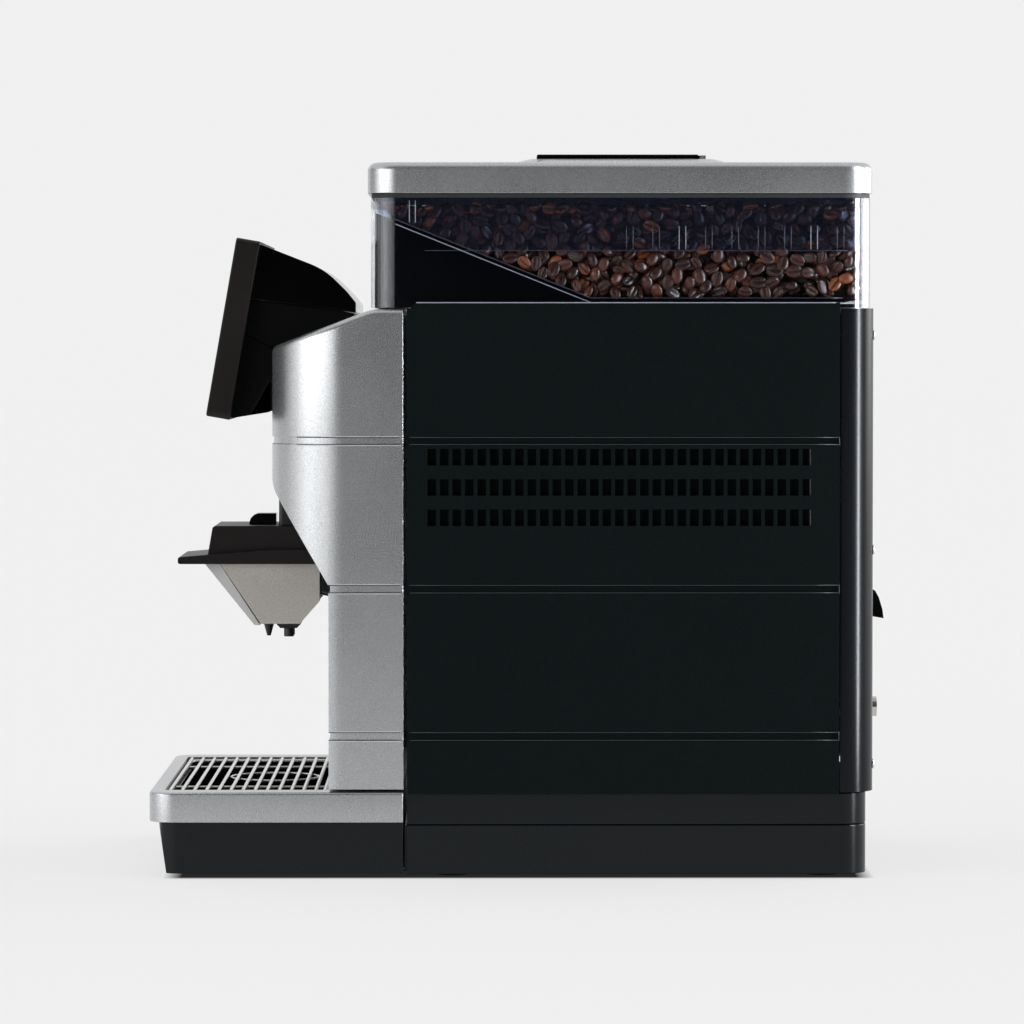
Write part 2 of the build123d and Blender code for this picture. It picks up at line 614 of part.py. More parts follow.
def display_hood():
    """Glossy upper shell behind the display."""
    top, foot = behind_display(DISPLAY_H - 2), behind_display(101)
    crest, shoulder, tail = (-160.0, 498.4), (-141.5, 480.0), (-134.3, 471.0)
    points = [foot, top, crest, shoulder, tail, (-134.3, 462.6), (-150.0, 465.4)]
    outer = side_prism(points, (-128, 128), [(crest, 62), (shoulder, 34)])
    inner_points = [
        (foot[0] - 1, foot[1] - 4),
        (top[0] - 1, top[1] - BACK_WALL),
        (crest[0], crest[1] - BACK_WALL - 1),
        (shoulder[0] - 3, shoulder[1] - 1),
        (tail[0] - BACK_WALL, tail[1]),
        (tail[0] - BACK_WALL, 458.0),
    ]
    return outer - side_prism(inner_points, (-125, 125))


def slope_z(y):
    """Height of the door's sloping top at a depth."""
    return 434.0 + (y - DOOR_FRONT_Y) * (DOOR_TOP - 434.0) / (-119.5 - DOOR_FRONT_Y)


def display_neck():
    """Satin wedge that carries the display on the door's sloping top."""
    gap = 0.3
    foot, low = behind_display(101), behind_display(72)
    lift = 0.6
    heel = (DOOR_FRONT_Y + 3, slope_z(DOOR_FRONT_Y + 3) + lift)
    rear_y = -150.0
    points = [
        (foot[0], foot[1] - gap),
        low,
        (DOOR_FRONT_Y - gap, 434.0),
        heel,
        (-136.0, slope_z(-136.0) + lift),
        (-136.0, 462.4),
        (rear_y, 465.4 - gap),
    ]
    outer = side_prism(points, (-122, 122))
    hollow = [
        (foot[0] + 4, foot[1] - 4),
        (low[0] + 6, low[1] + 2),
        (heel[0] + 4, heel[1] + 4),
        (rear_y - 8, slope_z(rear_y - 8) + 3.6),
        (rear_y - 12, 462.5),
    ]
    return outer - side_prism(hollow, (-118, 118))


def display_back():
    """Matt lower shell between the display and the door's front."""
    gap = 0.3
    low, foot = behind_display(71.6), behind_display(1)
    points = [
        low,
        foot,
        (DOOR_FRONT_Y - 4, 380.2),
        (DOOR_FRONT_Y - gap, 382.0),
        (DOOR_FRONT_Y - gap, 433.5),
    ]
    outer = side_prism(points, (-118, 118), [(points[2], 3)])
    hollow = [
        (low[0] + 3, low[1] - 5),
        (foot[0] + 4, foot[1] + 4),
        (DOOR_FRONT_Y - 4, 384.0),
        (DOOR_FRONT_Y - 4, 430.0),
    ]
    return outer - side_prism(hollow, (-114, 114))


# ---- hinges ---------------------------------------------------------------------------
def knuckle(low):
    return rod((*HINGE_AXIS, low), KNUCKLE_R, KNUCKLE_L)


def hinge_cabinet():
    """Cabinet half of both hinges: two outer knuckles on a folded leaf each."""
    made = []
    for middle in HINGE_Z:
        lows = (middle - 1.5 * KNUCKLE_L - 0.3, middle + 0.5 * KNUCKLE_L + 0.3)
        flange = block((-185, -160), (FRAME_Y[0] - 2, FRAME_Y[0]), (lows[0], lows[1] + KNUCKLE_L))
        arms = [block((-185, -183), (HINGE_AXIS[1] - 1, FRAME_Y[0]), (low, low + KNUCKLE_L)) for low in lows]
        leaf = flange + arms + [knuckle(low) for low in lows]
        made.append(leaf - rod((*HINGE_AXIS, middle - 30), PIN_R, 60))
    return Compound(children=[m.solids()[0] for m in made])


def hinge_pins():
    pins = []
    for middle in HINGE_Z:
        half = 1.5 * KNUCKLE_L + 0.3
        pin = rod((*HINGE_AXIS, middle - half), PIN_R, 2 * half) + rod((*HINGE_AXIS, middle + half), 2.4, 1.6)
        pins.append(pin)
    return Compound(children=[p.solids()[0] for p in pins])


def hinge_door():
    """Door half of both hinges: the middle knuckle on a straight leaf."""
    made = []
    for middle in HINGE_Z:
        z = (middle - 0.5 * KNUCKLE_L, middle + 0.5 * KNUCKLE_L)
        leaf = block((-186, -184), (-124, HINGE_AXIS[1]), z)
        leaf += knuckle(z[0])
        made.append(leaf - rod((*HINGE_AXIS, z[0] - 1), PIN_R + FIT, KNUCKLE_L + 2))
    return Compound(children=[m.solids()[0] for m in made])


# ---- spout ----------------------------------------------------------------------------
HOOD_Z = (251.6, 283.5)
SPOUT_BACK_Y = -167.0


def column_slot(z):
    """Room for the column in the back of the spout."""
    return mid_block(SPOUT_SLOT, (DOOR_FRONT_Y + 0.5, SPOUT_BACK_Y + 20), z)


def spout_hood():
    """Dark cap with the wide lip that is gripped to set the spout's height."""
    lip = [(-286.2, HOOD_Z[0]), (-286.2, 257.4), (-209, 264), (SPOUT_BACK_Y, 264), (SPOUT_BACK_Y, HOOD_Z[0])]
    visor = side_prism(lip, (-60, 60), [(lip[0], 2), (lip[1], 2)])
    cap = [(-261.4, 258), (-257.0, HOOD_Z[1]), (SPOUT_BACK_Y, HOOD_Z[1]), (SPOUT_BACK_Y, 258)]
    hood = visor + side_prism(cap, (-54, 54), [(cap[1], 3)])
    room = side_prism([(-256, 250), (-253.5, 280.4), (-206, 280.4), (-206, 250)], (-50.5, 50.5))
    return hood - room - column_slot((240, 300))


def spout_dome():
    """Rounded cover over the hose elbow, on top of the hood."""
    dome = mid_block(13, (-228, -205), (HOOD_Z[1], 293.0))
    return fillet(dome.edges().filter_by(Axis.X).group_by(Axis.Z)[-1].group_by(Axis.Y)[0], 9)


BODY_FLOOR = 200.6


def spout_body():
    """Folded metal body under the hood, open at the top."""
    top = HOOD_Z[0]
    points = [
        (-251.0, top),
        (-216.7, BODY_FLOOR),
        (-184.0, BODY_FLOOR),
        (SPOUT_BACK_Y, 220),
        (SPOUT_BACK_Y, top),
    ]
    outer = side_prism(points, (-49, 49))
    inner = side_prism(
        [(-249.0, top + 1), (-215.8, BODY_FLOOR + 1.5), (-184.6, BODY_FLOOR + 1.5),
         (SPOUT_BACK_Y - 1.5, 220.6), (SPOUT_BACK_Y - 1.5, top + 1)],
        (-47.5, 47.5),
    )
    slot = column_slot((206, 270))
    return outer - inner - slot


def spout_front():
    """Bright front plate, standing off the body's sloping face."""
    top = HOOD_Z[0]
    points = [(-264.4, top), (-222.4, 199.4), (-217.4, 199.4), (-251.6, top)]
    return side_prism(points, (-46, 46))


def spout_nozzles():
    """Coffee outlet with two tips, and the single hot-water tip in front of it."""
    block_y = (-204.5, -184.5)
    body = mid_block(20, block_y, (195.4, BODY_FLOOR))
    body = chamfer(body.edges().filter_by(Axis.X).group_by(Axis.Z)[0], 3)
    tips = [rod((x, -194.5, 188), 4.2, 8) for x in (-12, 12)]
    bores = [rod((x, -194.5, 187), 2.6, 10) for x in (-12, 12)]
    coffee = body + tips - bores
    cone = Pos(0, -212, 194.3) * Cone(1.6, 5.0, 12.6)
    return Compound(children=[coffee.solids()[0], (cone - rod((0, -212, 187), 1.0, 8)).solids()[0]])


# ---- drip tray --------------------------------------------------------------------------
BASIN_RIM = 64.0


def tray_bezel():
    """Silver frame of the drip tray."""
    half = HALF_W
    points = [(-half, TRAY_BACK_Y), (-half, FRONT_Y), (half, FRONT_Y), (half, TRAY_BACK_Y)]
    rounds = [(p, 20) for p in points[1:3]]
    outer = plan_prism(points, (BEZEL_BOTTOM, TRAY_TOP), rounds)
    top_edges = outer.edges().group_by(Axis.Z)[-1].filter_by(lambda e: e.center().Y < TRAY_BACK_Y - 1)
    outer = fillet(top_edges, 2.2)
    corners = [(-half + 5, FRONT_Y + 5), (half - 5, FRONT_Y + 5)]
    skirt = plan_prism(
        [(-half + 5, TRAY_BACK_Y + 1), *corners, (half - 5, TRAY_BACK_Y + 1)],
        (BEZEL_BOTTOM - 1, BASIN_RIM),
        [(c, 15) for c in corners],
    )
    opening = mid_block(GRILLE_HALF_W + 3, (GRILLE_Y[0] - 3, GRILLE_Y[1] + 3), (BEZEL_BOTTOM, TRAY_TOP + 1))
    return outer - skirt - opening


def tray_basin():
    """Black water basin with a rim for the grille."""
    half = 183.0
    front_top, front_foot = FRONT_Y + 7.5, FRONT_Y + 14.0
    back = TRAY_BACK_Y
    corners = [(-half, front_top), (half, front_top)]
    outline = [(-half, back), *corners, (half, back)]
    plan = plan_prism(outline, (TRAY_BOTTOM, BASIN_RIM), [(c, 16) for c in corners])
    side = [
        (front_top, BASIN_RIM),
        (front_top, BEZEL_BOTTOM),
        (front_foot, TRAY_BOTTOM),
        (back, TRAY_BOTTOM),
        (back, BASIN_RIM),
    ]
    outer = plan & side_prism(side, (-half, half))
    room = mid_block(half - 4, (front_foot + 3, back - 3), (TRAY_BOTTOM + 3, BASIN_RIM - 4))
    mouth = mid_block(GRILLE_HALF_W - 3, (GRILLE_Y[0] + 3, GRILLE_Y[1] - 2), (BASIN_RIM - 5, BASIN_RIM + 1))
    return outer - room - mouth


def drip_grille():
    """Welded wire grille: cross bars on four runners, a frame, and a ring that centres the cup."""
    top = TRAY_TOP - BAR_R
    low = top - 2 * BAR_R + 0.4
    width = 2 * GRILLE_HALF_W
    depth = GRILLE_Y[1] - GRILLE_Y[0]
    rows = [GRILLE_Y[0] + 1 + BAR_PITCH * i for i in range(13)]
    wires = [rod((-GRILLE_HALF_W, y, top), BAR_R, width, "X") for y in rows]
    wires += [rod((x, GRILLE_Y[0], low), BAR_R, depth, "Y") for x in (-97, 97)]
    ring = Pos(0, -207, low + 0.2) * Rot(0, 0, 20) * Torus(37.5, 1.2)
    loop = Pos(0, sum(GRILLE_Y) / 2, low) * RectangleRounded(width, depth, 8).wire()
    frame = sweep(Plane(origin=loop @ 0, z_dir=loop % 0) * Circle(2.0), path=loop)
    return frame + wires + ring




# ---- grinder and brewing parts ------------------------------------------------------------
def grinder_housing():
    """Burr chamber under the throat, with the flange that hangs it from the top deck."""
    x, y = THROAT
    body = rod((x, y, 404), 52, TOP_DECK_Z[0] - 404)
    flange = rod((x, y, TOP_DECK_Z[0] - 5), 62, 5)
    chamber = rod((x, y, 410), 46, 60)
    outlet = block((-13, 13), (y - 60, y - 30), (411, 431))
    return body + flange - chamber - outlet - rod((x, y, 400), 6, 20)


def upper_burr():
    x, y = THROAT
    carrier = rod((x, y, 446), 45.7, 12) - rod((x, y, 440), 27, 30)
    ring = rod((x, y, 434), 32, 12) - rod((x, y, 430), 20, 20)
    teeth = [Rot(0, 0, 30 * i) * Pos(26, 0, 434) * Box(14, 1.6, 3) for i in range(12)]
    return carrier + ring - [Pos(x, y, 0) * t for t in teeth]


def lower_burr():
    """Driven burr with its shaft."""
    x, y = THROAT
    disc = rod((x, y, 418), 32, 12)
    cone = Pos(x, y, 431.2) * Cone(15, 5, 3)
    shaft = rod((x, y, 384), 5, 36)
    teeth = [Pos(x, y, 0) * Rot(0, 0, 30 * i + 15) * Pos(26, 0, 430) * Box(14, 1.6, 3) for i in range(12)]
    return disc + shaft + cone - teeth


def grinder_motor():
    x, y = THROAT
    can = rod((x, y, 292), 40, 108)
    neck = rod((x, y, 400), 22, 4)
    fins = [Pos(x, y, 330) * Rot(0, 0, 45 * i) * Pos(41, 0, 0) * Box(6, 3, 50) for i in range(8)]
    return can + neck + fins - rod((x, y, 380), 5 + FIT, 30)


def grounds_chute():
    """Sloping duct from the burr chamber to the brew group."""
    y = THROAT[1] - 46
    outer = [(y, 433), (y, 409), (-20, 352), (-20, 344), (-42, 344), (-42, 372)]
    inner = [(y + 1, 430), (y + 1, 412), (-23, 352), (-23, 343), (-39, 343), (-39, 370.5)]
    duct = side_prism(outer, (-16, 16)) - side_prism(inner, (-13, 13))
    return duct - rod((*THROAT, 400), 52.2, 40)


BREW_AT = (0.0, -31.0)
BREW_BORE = 22.0


def brew_group():
    """Brewing unit: chamber block on a guide frame."""
    x, y = BREW_AT
    chamber = block((-34, 34), (y - 34, y + 34), (262, 340)) - rod((x, y, 255), BREW_BORE, 100)
    chamber = fillet(chamber.edges().filter_by(Axis.Z).filter_by(lambda e: abs(e.center().X) > 33), 8)
    cheeks = block((34, 40), (y - 34, y + 34), (182, 340))
    foot = block((-40, 40), (y - 34, y + 34), (176, 182))
    handle = block((-22, 22), (y - 46, y - 34), (300, 308)) + block((-22, 22), (y - 46, y - 42), (292, 308))
    return chamber + mirrored(cheeks) + foot + handle


def brew_bridge():
    """Folded steel bridge over the grounds box, on which the brew group stands."""
    y = (BREW_AT[1] - 34, BREW_AT[1] + 34)
    legs = mirrored(block((100, 103), y, (DECK_Z[1], 176)))
    return mid_block(103, y, (173, 176)) + legs


def brew_piston():
    x, y = BREW_AT
    head = rod((x, y, 266), BREW_BORE - FIT, 12)
    stem = rod((x, y, 216), 8, 52)
    yoke = block((-20, 20), (y - 10, y + 10), (212, 222))
    return head + stem + yoke


BOILER_AT = (100.0, 96.0)


def boiler():
    x, y = BOILER_AT
    can = fillet(rod((x, y, 190), 36, 110).edges(), 8)
    flange = rod((x, y, 238), 41, 8)
    stubs = [rod((x, y, 170), 4.5, 22), rod((x, y, 298), 4.5, 16)]
    legs = [block((x + dx - 3, x + dx + 3), (y - 3, y + 3), (DECK_Z[1], 240)) for dx in (-38, 38)]
    return can + flange + stubs + legs


PUMP_AT = (-128.0, 100.0)


def water_pump():
    """Vibration pump on its bracket."""
    x, z = PUMP_AT
    barrel = rod((x, -60, z), 13, 118, "Y")
    coil = block((x - 24, x + 24), (-30, 24), (z - 22, z + 22))
    coil = fillet(coil.edges().filter_by(Axis.Y), 6)
    bracket = block((x - 20, x + 20), (-46, -40), (DECK_Z[1], z + 18))
    shoe = block((x - 20, x + 20), (-46, 20), (DECK_Z[1], DECK_Z[1] + 2))
    return barrel + coil + bracket + shoe


def solenoid_valve():
    x, y = BOILER_AT
    body = block((x - 12, x + 12), (y - 14, y + 14), (314, 332))
    coil = fillet(block((x - 15, x + 15), (y - 17, y + 17), (332, 366)).edges().filter_by(Axis.Z), 5)
    return body + coil


def water_tank():
    """Closed inner tank with a filling neck for the mains valve."""
    x, y, z = (-176.0, -112.0), (66.0, 232.0), (DECK_Z[1], 392.0)
    outer = fillet(block(x, y, z).edges().filter_by(Axis.Z), 10)
    inner = block((x[0] + 3, x[1] - 3), (y[0] + 3, y[1] - 3), (z[0] + 3, z[1] - 3))
    neck = rod((-144, 150, z[1] - 1), 12, 12)
    return outer - fillet(inner.edges().filter_by(Axis.Z), 7) + neck


def water_hoses():
    """Inner hoses: tank to pump, pump to boiler, and valve to brew group."""
    x, y = BOILER_AT
    pump_x, pump_z = PUMP_AT
    suction = rod((pump_x, 58, pump_z), 4, 8, "Y")
    run = [
        (pump_x, -60, pump_z),
        (pump_x, -74, pump_z),
        (pump_x, -74, 150),
        (pump_x, 59, 150),
        (x, 59, 150),
        (x, y, 150),
        (x, y, 170),
    ]
    feed = [(x - 12, y, 323), (64, y, 323), (64, BREW_AT[1], 323), (40, BREW_AT[1], 323)]
    tubes = [suction, hose(run, 3.5, 7), hose(feed, 3, 10)]
    return Compound(children=[t.solids()[0] for t in tubes])


def control_board():
    """Main circuit board on stand-offs, with its larger components."""
    inside = HALF_W - PANEL_T
    board = block((inside - 11.6, inside - 10), (-50, 170), (250, 410))
    posts = [rod((inside - 10, y, z), 3, 10, "X") for y in (-42, 162) for z in (258, 402)]
    parts = [block((inside - 11.6 - h, inside - 11.6), (y, y + w), (z, z + d)) for y, z, w, d, h in (
        (-30, 270, 44, 34, 18), (30, 262, 26, 26, 24), (70, 262, 26, 26, 24),
        (110, 270, 40, 60, 12), (-30, 330, 60, 60, 6), (60, 350, 20, 20, 9),
    )]
    return board + posts + parts




def fan_frame():
    y = (REAR_Y - 3 - 26, REAR_Y - 3)
    frame = block((FAN_X - FAN_HALF, FAN_X + FAN_HALF), y, (FAN_Z - FAN_HALF, FAN_Z + FAN_HALF))
    frame -= rod((FAN_X, y[0] - 1, FAN_Z), 37.5, 30, "Y")
    spider = block((FAN_X - 38, FAN_X + 38), (y[0], y[0] + 3), (FAN_Z - 2, FAN_Z + 2))
    spider += block((FAN_X - 2, FAN_X + 2), (y[0], y[0] + 3), (FAN_Z - 38, FAN_Z + 38))
    hub = rod((FAN_X, y[0], FAN_Z), 14, 5, "Y") + rod((FAN_X, y[0], FAN_Z), 3, 16, "Y")
    return frame + spider + hub


def fan_rotor():
    front = REAR_Y - 3 - 26
    hub = rod((FAN_X, front + 6, FAN_Z), 14, 17, "Y")
    blade = Pos(0, 0, 24) * Rot(0, 0, 35) * Box(20, 1.6, 22)
    blades = [Pos(FAN_X, front + 14, FAN_Z) * Rot(0, 360 / 7 * i, 0) * blade for i in range(7)]
    return hub + blades - rod((FAN_X, front + 5, FAN_Z), 3 + FIT, 12, "Y")


def grounds_box():
    """Bin for used coffee, behind the door."""
    y = (-80.0, 52.0)
    outer = mid_block(96, y, (DECK_Z[1], 160))
    outer = fillet(outer.edges().filter_by(Axis.Z), 8)
    inner = mid_block(93.5, (y[0] + 2.5, y[1] - 2.5), (DECK_Z[1] + 2.5, 161))
    inner = fillet(inner.edges().filter_by(Axis.Z), 6)
    grip = mid_block(30, (y[0] - 2, y[0] + 5), (128, 146)) & mid_block(96, (y[0], y[1]), (0, 200))
    return outer - inner - grip


NODES = {
    "rubber_feet": feet,
    "tray_runners": tray_runners,
    "base_pan": base_pan,
    "plinth_band": plinth_band,
    "chassis_deck": chassis_deck,
    "front_frame": front_frame,
    "rear_posts": rear_posts,
    "top_deck": top_deck,
    "side_panel_right": lambda: side_panel(CABINET_Y),
    "side_panel_left": lambda: mirror(side_panel(HINGE_SIDE_Y), Plane.YZ),
    "rear_cover": rear_cover,
    "rear_screws": rear_screws,
    "main_switch_frame": switch_frame,
    "main_switch_rocker": switch_rocker,
    "power_inlet": power_inlet,
    "water_inlet": water_inlet,
    "hopper_shell": hopper_shell,
    "hopper_floor": hopper_floor,
    "hopper_collar": hopper_collar,
    "bean_fill": bean_fill,
    "lid_seal": lid_seal,
    "lid_shell": lid_shell,
    "filler_hatch": filler_hatch,
    "hatch_pin": hatch_pin,
    "door_shell": door_shell,
    "front_panel": front_panel,
    "spout_rack": spout_rack,
    "display_frame": display_frame,
    "display_glass": display_glass,
    "display_hood": display_hood,
    "display_neck": display_neck,
    "display_back": display_back,
    "hinge_cabinet": hinge_cabinet,
    "hinge_pins": hinge_pins,
    "hinge_door": hinge_door,
    "spout_hood": spout_hood,
    "spout_dome": spout_dome,
    "spout_body": spout_body,
    "spout_front": spout_front,
    "spout_nozzles": spout_nozzles,
    "tray_bezel": tray_bezel,
    "tray_basin": tray_basin,
    "drip_grille": drip_grille,
    "grinder_housing": grinder_housing,
    "upper_burr": upper_burr,
    "lower_burr": lower_burr,
    "grinder_motor": grinder_motor,
    "grounds_chute": grounds_chute,
    "brew_group": brew_group,
    "brew_bridge": brew_bridge,
    "brew_piston": brew_piston,
    "boiler": boiler,
    "water_pump": water_pump,
    "solenoid_valve": solenoid_valve,
    "water_tank": water_tank,
    "water_hoses": water_hoses,
    "control_board": control_board,
    "fan_frame": fan_frame,
    "fan_rotor": fan_rotor,
    "grounds_box": grounds_box,
}

os.makedirs("parts", exist_ok=True)
for node, make in NODES.items():
    save(make(), node)
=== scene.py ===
import bpy
import bmesh
import json
import math
import numpy as np
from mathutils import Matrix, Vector
from mathutils.bvhtree import BVHTree


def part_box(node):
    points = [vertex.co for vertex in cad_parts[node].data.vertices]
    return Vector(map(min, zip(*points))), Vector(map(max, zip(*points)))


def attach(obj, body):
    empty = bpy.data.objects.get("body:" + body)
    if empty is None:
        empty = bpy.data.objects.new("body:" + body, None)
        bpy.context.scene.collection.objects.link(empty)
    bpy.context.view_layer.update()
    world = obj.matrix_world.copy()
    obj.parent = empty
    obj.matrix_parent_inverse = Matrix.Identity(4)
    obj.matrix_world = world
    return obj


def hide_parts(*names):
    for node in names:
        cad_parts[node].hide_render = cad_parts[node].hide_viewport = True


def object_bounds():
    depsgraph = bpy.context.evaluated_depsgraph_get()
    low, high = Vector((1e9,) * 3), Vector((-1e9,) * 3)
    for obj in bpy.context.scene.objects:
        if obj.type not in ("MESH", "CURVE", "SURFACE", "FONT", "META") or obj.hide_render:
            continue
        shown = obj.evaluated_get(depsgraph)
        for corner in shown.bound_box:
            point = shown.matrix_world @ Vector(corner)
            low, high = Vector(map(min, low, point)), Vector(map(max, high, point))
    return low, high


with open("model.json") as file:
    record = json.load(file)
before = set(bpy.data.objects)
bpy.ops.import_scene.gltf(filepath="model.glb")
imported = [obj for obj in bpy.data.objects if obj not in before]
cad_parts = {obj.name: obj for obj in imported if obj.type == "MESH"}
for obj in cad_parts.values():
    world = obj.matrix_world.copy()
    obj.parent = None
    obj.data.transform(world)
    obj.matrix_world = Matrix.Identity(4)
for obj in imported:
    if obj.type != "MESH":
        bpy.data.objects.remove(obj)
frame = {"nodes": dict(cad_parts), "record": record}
cad_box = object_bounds()
nodes = frame["nodes"]
MM = 0.001


# ---- node helpers -------------------------------------------------------------------
class Shader:
    """A small helper that adds nodes to one material."""

    def __init__(self, name):
        self.material = bpy.data.materials.new(name)
        self.material.use_nodes = True
        self.tree = self.material.node_tree
        self.tree.nodes.clear()
        self.out = self.add("ShaderNodeOutputMaterial")
        self.coords = self.add("ShaderNodeTexCoord").outputs["Object"]

    def add(self, kind, **settings):
        node = self.tree.nodes.new(kind)
        for key, value in settings.items():
            setattr(node, key, value)
        return node

    def link(self, source, target):
        self.tree.links.new(source, target)

    def noise(self, scale, detail=3.0, rough=0.55, stretch=None):
        node = self.add("ShaderNodeTexNoise")
        node.inputs["Scale"].default_value = scale
        node.inputs["Detail"].default_value = detail
        node.inputs["Roughness"].default_value = rough
        source = self.coords
        if stretch:
            mapping = self.add("ShaderNodeMapping")
            mapping.inputs["Scale"].default_value = stretch
            self.link(source, mapping.inputs["Vector"])
            source = mapping.outputs["Vector"]
        self.link(source, node.inputs["Vector"])
        return node.outputs["Fac"]

    def ramp(self, source, low, high, to_low=0.0, to_high=1.0):
        node = self.add("ShaderNodeMapRange")
        node.inputs["From Min"].default_value = low
        node.inputs["From Max"].default_value = high
        node.inputs["To Min"].default_value = to_low
        node.inputs["To Max"].default_value = to_high
        self.link(source, node.inputs["Value"])
        return node.outputs["Result"]

    def mix(self, factor, a, b):
        """Mixes two colours; each is a colour or a socket."""
        node = self.add("ShaderNodeMix", data_type="RGBA")
        for value, key in ((a, 6), (b, 7)):
            if isinstance(value, tuple):
                node.inputs[key].default_value = (*value, 1.0)
            else:
                self.link(value, node.inputs[key])
        if isinstance(factor, float):
            node.inputs["Factor"].default_value = factor
        else:
            self.link(factor, node.inputs["Factor"])
        return node.outputs[2]

    def math(self, kind, a, b):
        node = self.add("ShaderNodeMath", operation=kind)
        for value, key in ((a, 0), (b, 1)):
            if isinstance(value, float):
                node.inputs[key].default_value = value
            else:
                self.link(value, node.inputs[key])
        return node.outputs[0]

    def bump(self, height, strength, distance):
        node = self.add("ShaderNodeBump")
        node.inputs["Strength"].default_value = strength
        node.inputs["Distance"].default_value = distance
        self.link(height, node.inputs["Height"])
        return node.outputs["Normal"]


def shade(rgb, factor):
    """A colour made lighter or darker."""
    return tuple(min(1.0, c * factor) for c in rgb)


def surface(name, rgb, rough, grain=900.0, depth=0.00003, tone=0.12, cloud=9.0, rough_spread=0.06,
            metal=0.0, coat=0.0, specular=0.5, wear=0.0, wear_rgb=None, stretch=None,
            fleck=0.0, fleck_scale=620.0):
    """A moulded, painted or metal surface: fine grain, slow changes of tone, and worn edges."""
    s = Shader(name)
    shader = s.add("ShaderNodeBsdfPrincipled")
    fine = s.noise(grain, 2.0, 0.6, stretch)
    slow = s.noise(cloud, 4.0, 0.6)
    colour = s.mix(s.ramp(slow, 0.3, 0.7), shade(rgb, 1 - tone), shade(rgb, 1 + tone))
    if fleck:
        spots = s.ramp(s.noise(fleck_scale, 0.0, 0.5), 0.32, 0.68)
        colour = s.mix(s.math("MULTIPLY", s.math("SUBTRACT", 1.0, spots), fleck), colour, shade(rgb, 0.2))
        light = s.ramp(s.noise(fleck_scale * 1.3, 0.0, 0.5), 0.5, 0.8)
        colour = s.mix(s.math("MULTIPLY", light, fleck), colour, shade(rgb, 1.9))
    if wear:
        geometry = s.add("ShaderNodeNewGeometry")
        edge = s.ramp(geometry.outputs["Pointiness"], 0.52, 0.60)
        edge = s.math("MULTIPLY", edge, s.ramp(s.noise(60.0, 4.0), 0.35, 0.6))
        edge = s.math("MULTIPLY", edge, wear)
        colour = s.mix(edge, colour, wear_rgb or shade(rgb, 2.0))
    s.link(colour, shader.inputs["Base Color"])
    smudge = s.math("ADD", s.ramp(slow, 0.25, 0.75, rough - rough_spread, rough + rough_spread),
                    s.ramp(fine, 0.3, 0.7, -0.02, 0.02))
    s.link(smudge, shader.inputs["Roughness"])
    shader.inputs["Metallic"].default_value = metal
    shader.inputs["Coat Weight"].default_value = coat
    shader.inputs["Coat Roughness"].default_value = 0.08
    shader.inputs["Specular IOR Level"].default_value = specular
    s.link(s.bump(fine, 0.6, depth), shader.inputs["Normal"])
    s.link(shader.outputs[0], s.out.inputs["Surface"])
    return s.material


def clear_plastic(name, tint, gloss_rgb, strength, dirt=0.05, metal=1.0, least=0.03):
    """Thin clear or smoked plastic: what is behind shows through, and it mirrors more at a slant."""
    s = Shader(name)
    through = s.add("ShaderNodeBsdfTransparent")
    haze = s.ramp(s.noise(14.0, 5.0, 0.6), 0.35, 0.8, 1.0, 1.0 - dirt)
    tinted = s.mix(haze, shade(tint, 0.9), tint)
    s.link(tinted, through.inputs["Color"])
    gloss = s.add("ShaderNodeBsdfPrincipled")
    gloss.inputs["Base Color"].default_value = (*gloss_rgb, 1.0)
    s.link(s.ramp(s.noise(40.0, 3.0), 0.3, 0.7, 0.02, 0.06), gloss.inputs["Roughness"])
    gloss.inputs["Metallic"].default_value = metal
    slant = s.add("ShaderNodeLayerWeight")
    slant.inputs["Blend"].default_value = 0.5
    curve = s.add("ShaderNodeValToRGB")
    stops = curve.color_ramp.elements
    stops[0].position, stops[0].color = 0.0, (least, least, least, 1)
    stops[1].position, stops[1].color = 1.0, (strength, strength, strength, 1)
    for place, value in ((0.06, least + 0.005), (0.25, least + 0.04), (0.6, least + 0.16)):
        stop = stops.new(place)
        stop.color = (value, value, value, 1)
    s.link(slant.outputs["Facing"], curve.inputs[0])
    blend = s.add("ShaderNodeMixShader")
    s.link(curve.outputs[0], blend.inputs[0])
    s.link(through.outputs[0], blend.inputs[1])
    s.link(gloss.outputs[0], blend.inputs[2])
    s.link(blend.outputs[0], s.out.inputs["Surface"])
    return s.material


def bean_skin():
    """Roasted beans: each has its own tone, painted shade in its crease and a wrinkled, slightly oily skin.
    """
    s = Shader("bean_skin")
    shader = s.add("ShaderNodeBsdfPrincipled")
    tone = s.add("ShaderNodeAttribute", attribute_name="tone").outputs["Fac"]
    ramp = s.add("ShaderNodeValToRGB")
    stops = ramp.color_ramp.elements
    stops[0].position, stops[0].color = 0.0, (0.012, 0.007, 0.006, 1)
    stops[1].position, stops[1].color = 1.0, (0.52, 0.15, 0.045, 1)
    tones = ((0.35, (0.055, 0.017, 0.012)), (0.72, (0.14, 0.042, 0.027)), (0.86, (0.42, 0.11, 0.036)))
    for place, rgb in tones:
        stop = stops.new(place)
        stop.color = (*rgb, 1)
    s.link(tone, ramp.inputs[0])
    mottled = s.mix(s.ramp(s.noise(320.0, 4.0, 0.65), 0.3, 0.7), ramp.outputs[0], (0.03, 0.014, 0.01))
    half = s.mix(0.45, ramp.outputs[0], mottled)
    painted_shade = s.add("ShaderNodeAttribute", attribute_name="painted_shade").outputs["Fac"]
    # Painted shade: a per-point attribute darkens the colour towards near-black in each bean's crease, a
    # little at its tips, and over most of the hidden core.
    s.link(s.mix(painted_shade, half, (0.006, 0.003, 0.002)), shader.inputs["Base Color"])
    s.link(s.ramp(s.noise(180.0, 3.0), 0.3, 0.7, 0.24, 0.38), shader.inputs["Roughness"])
    shader.inputs["Specular IOR Level"].default_value = 0.5
    s.link(s.bump(s.noise(700.0, 4.0, 0.7), 0.5, 0.0002), shader.inputs["Normal"])
    s.link(shader.outputs[0], s.out.inputs["Surface"])
    return s.material


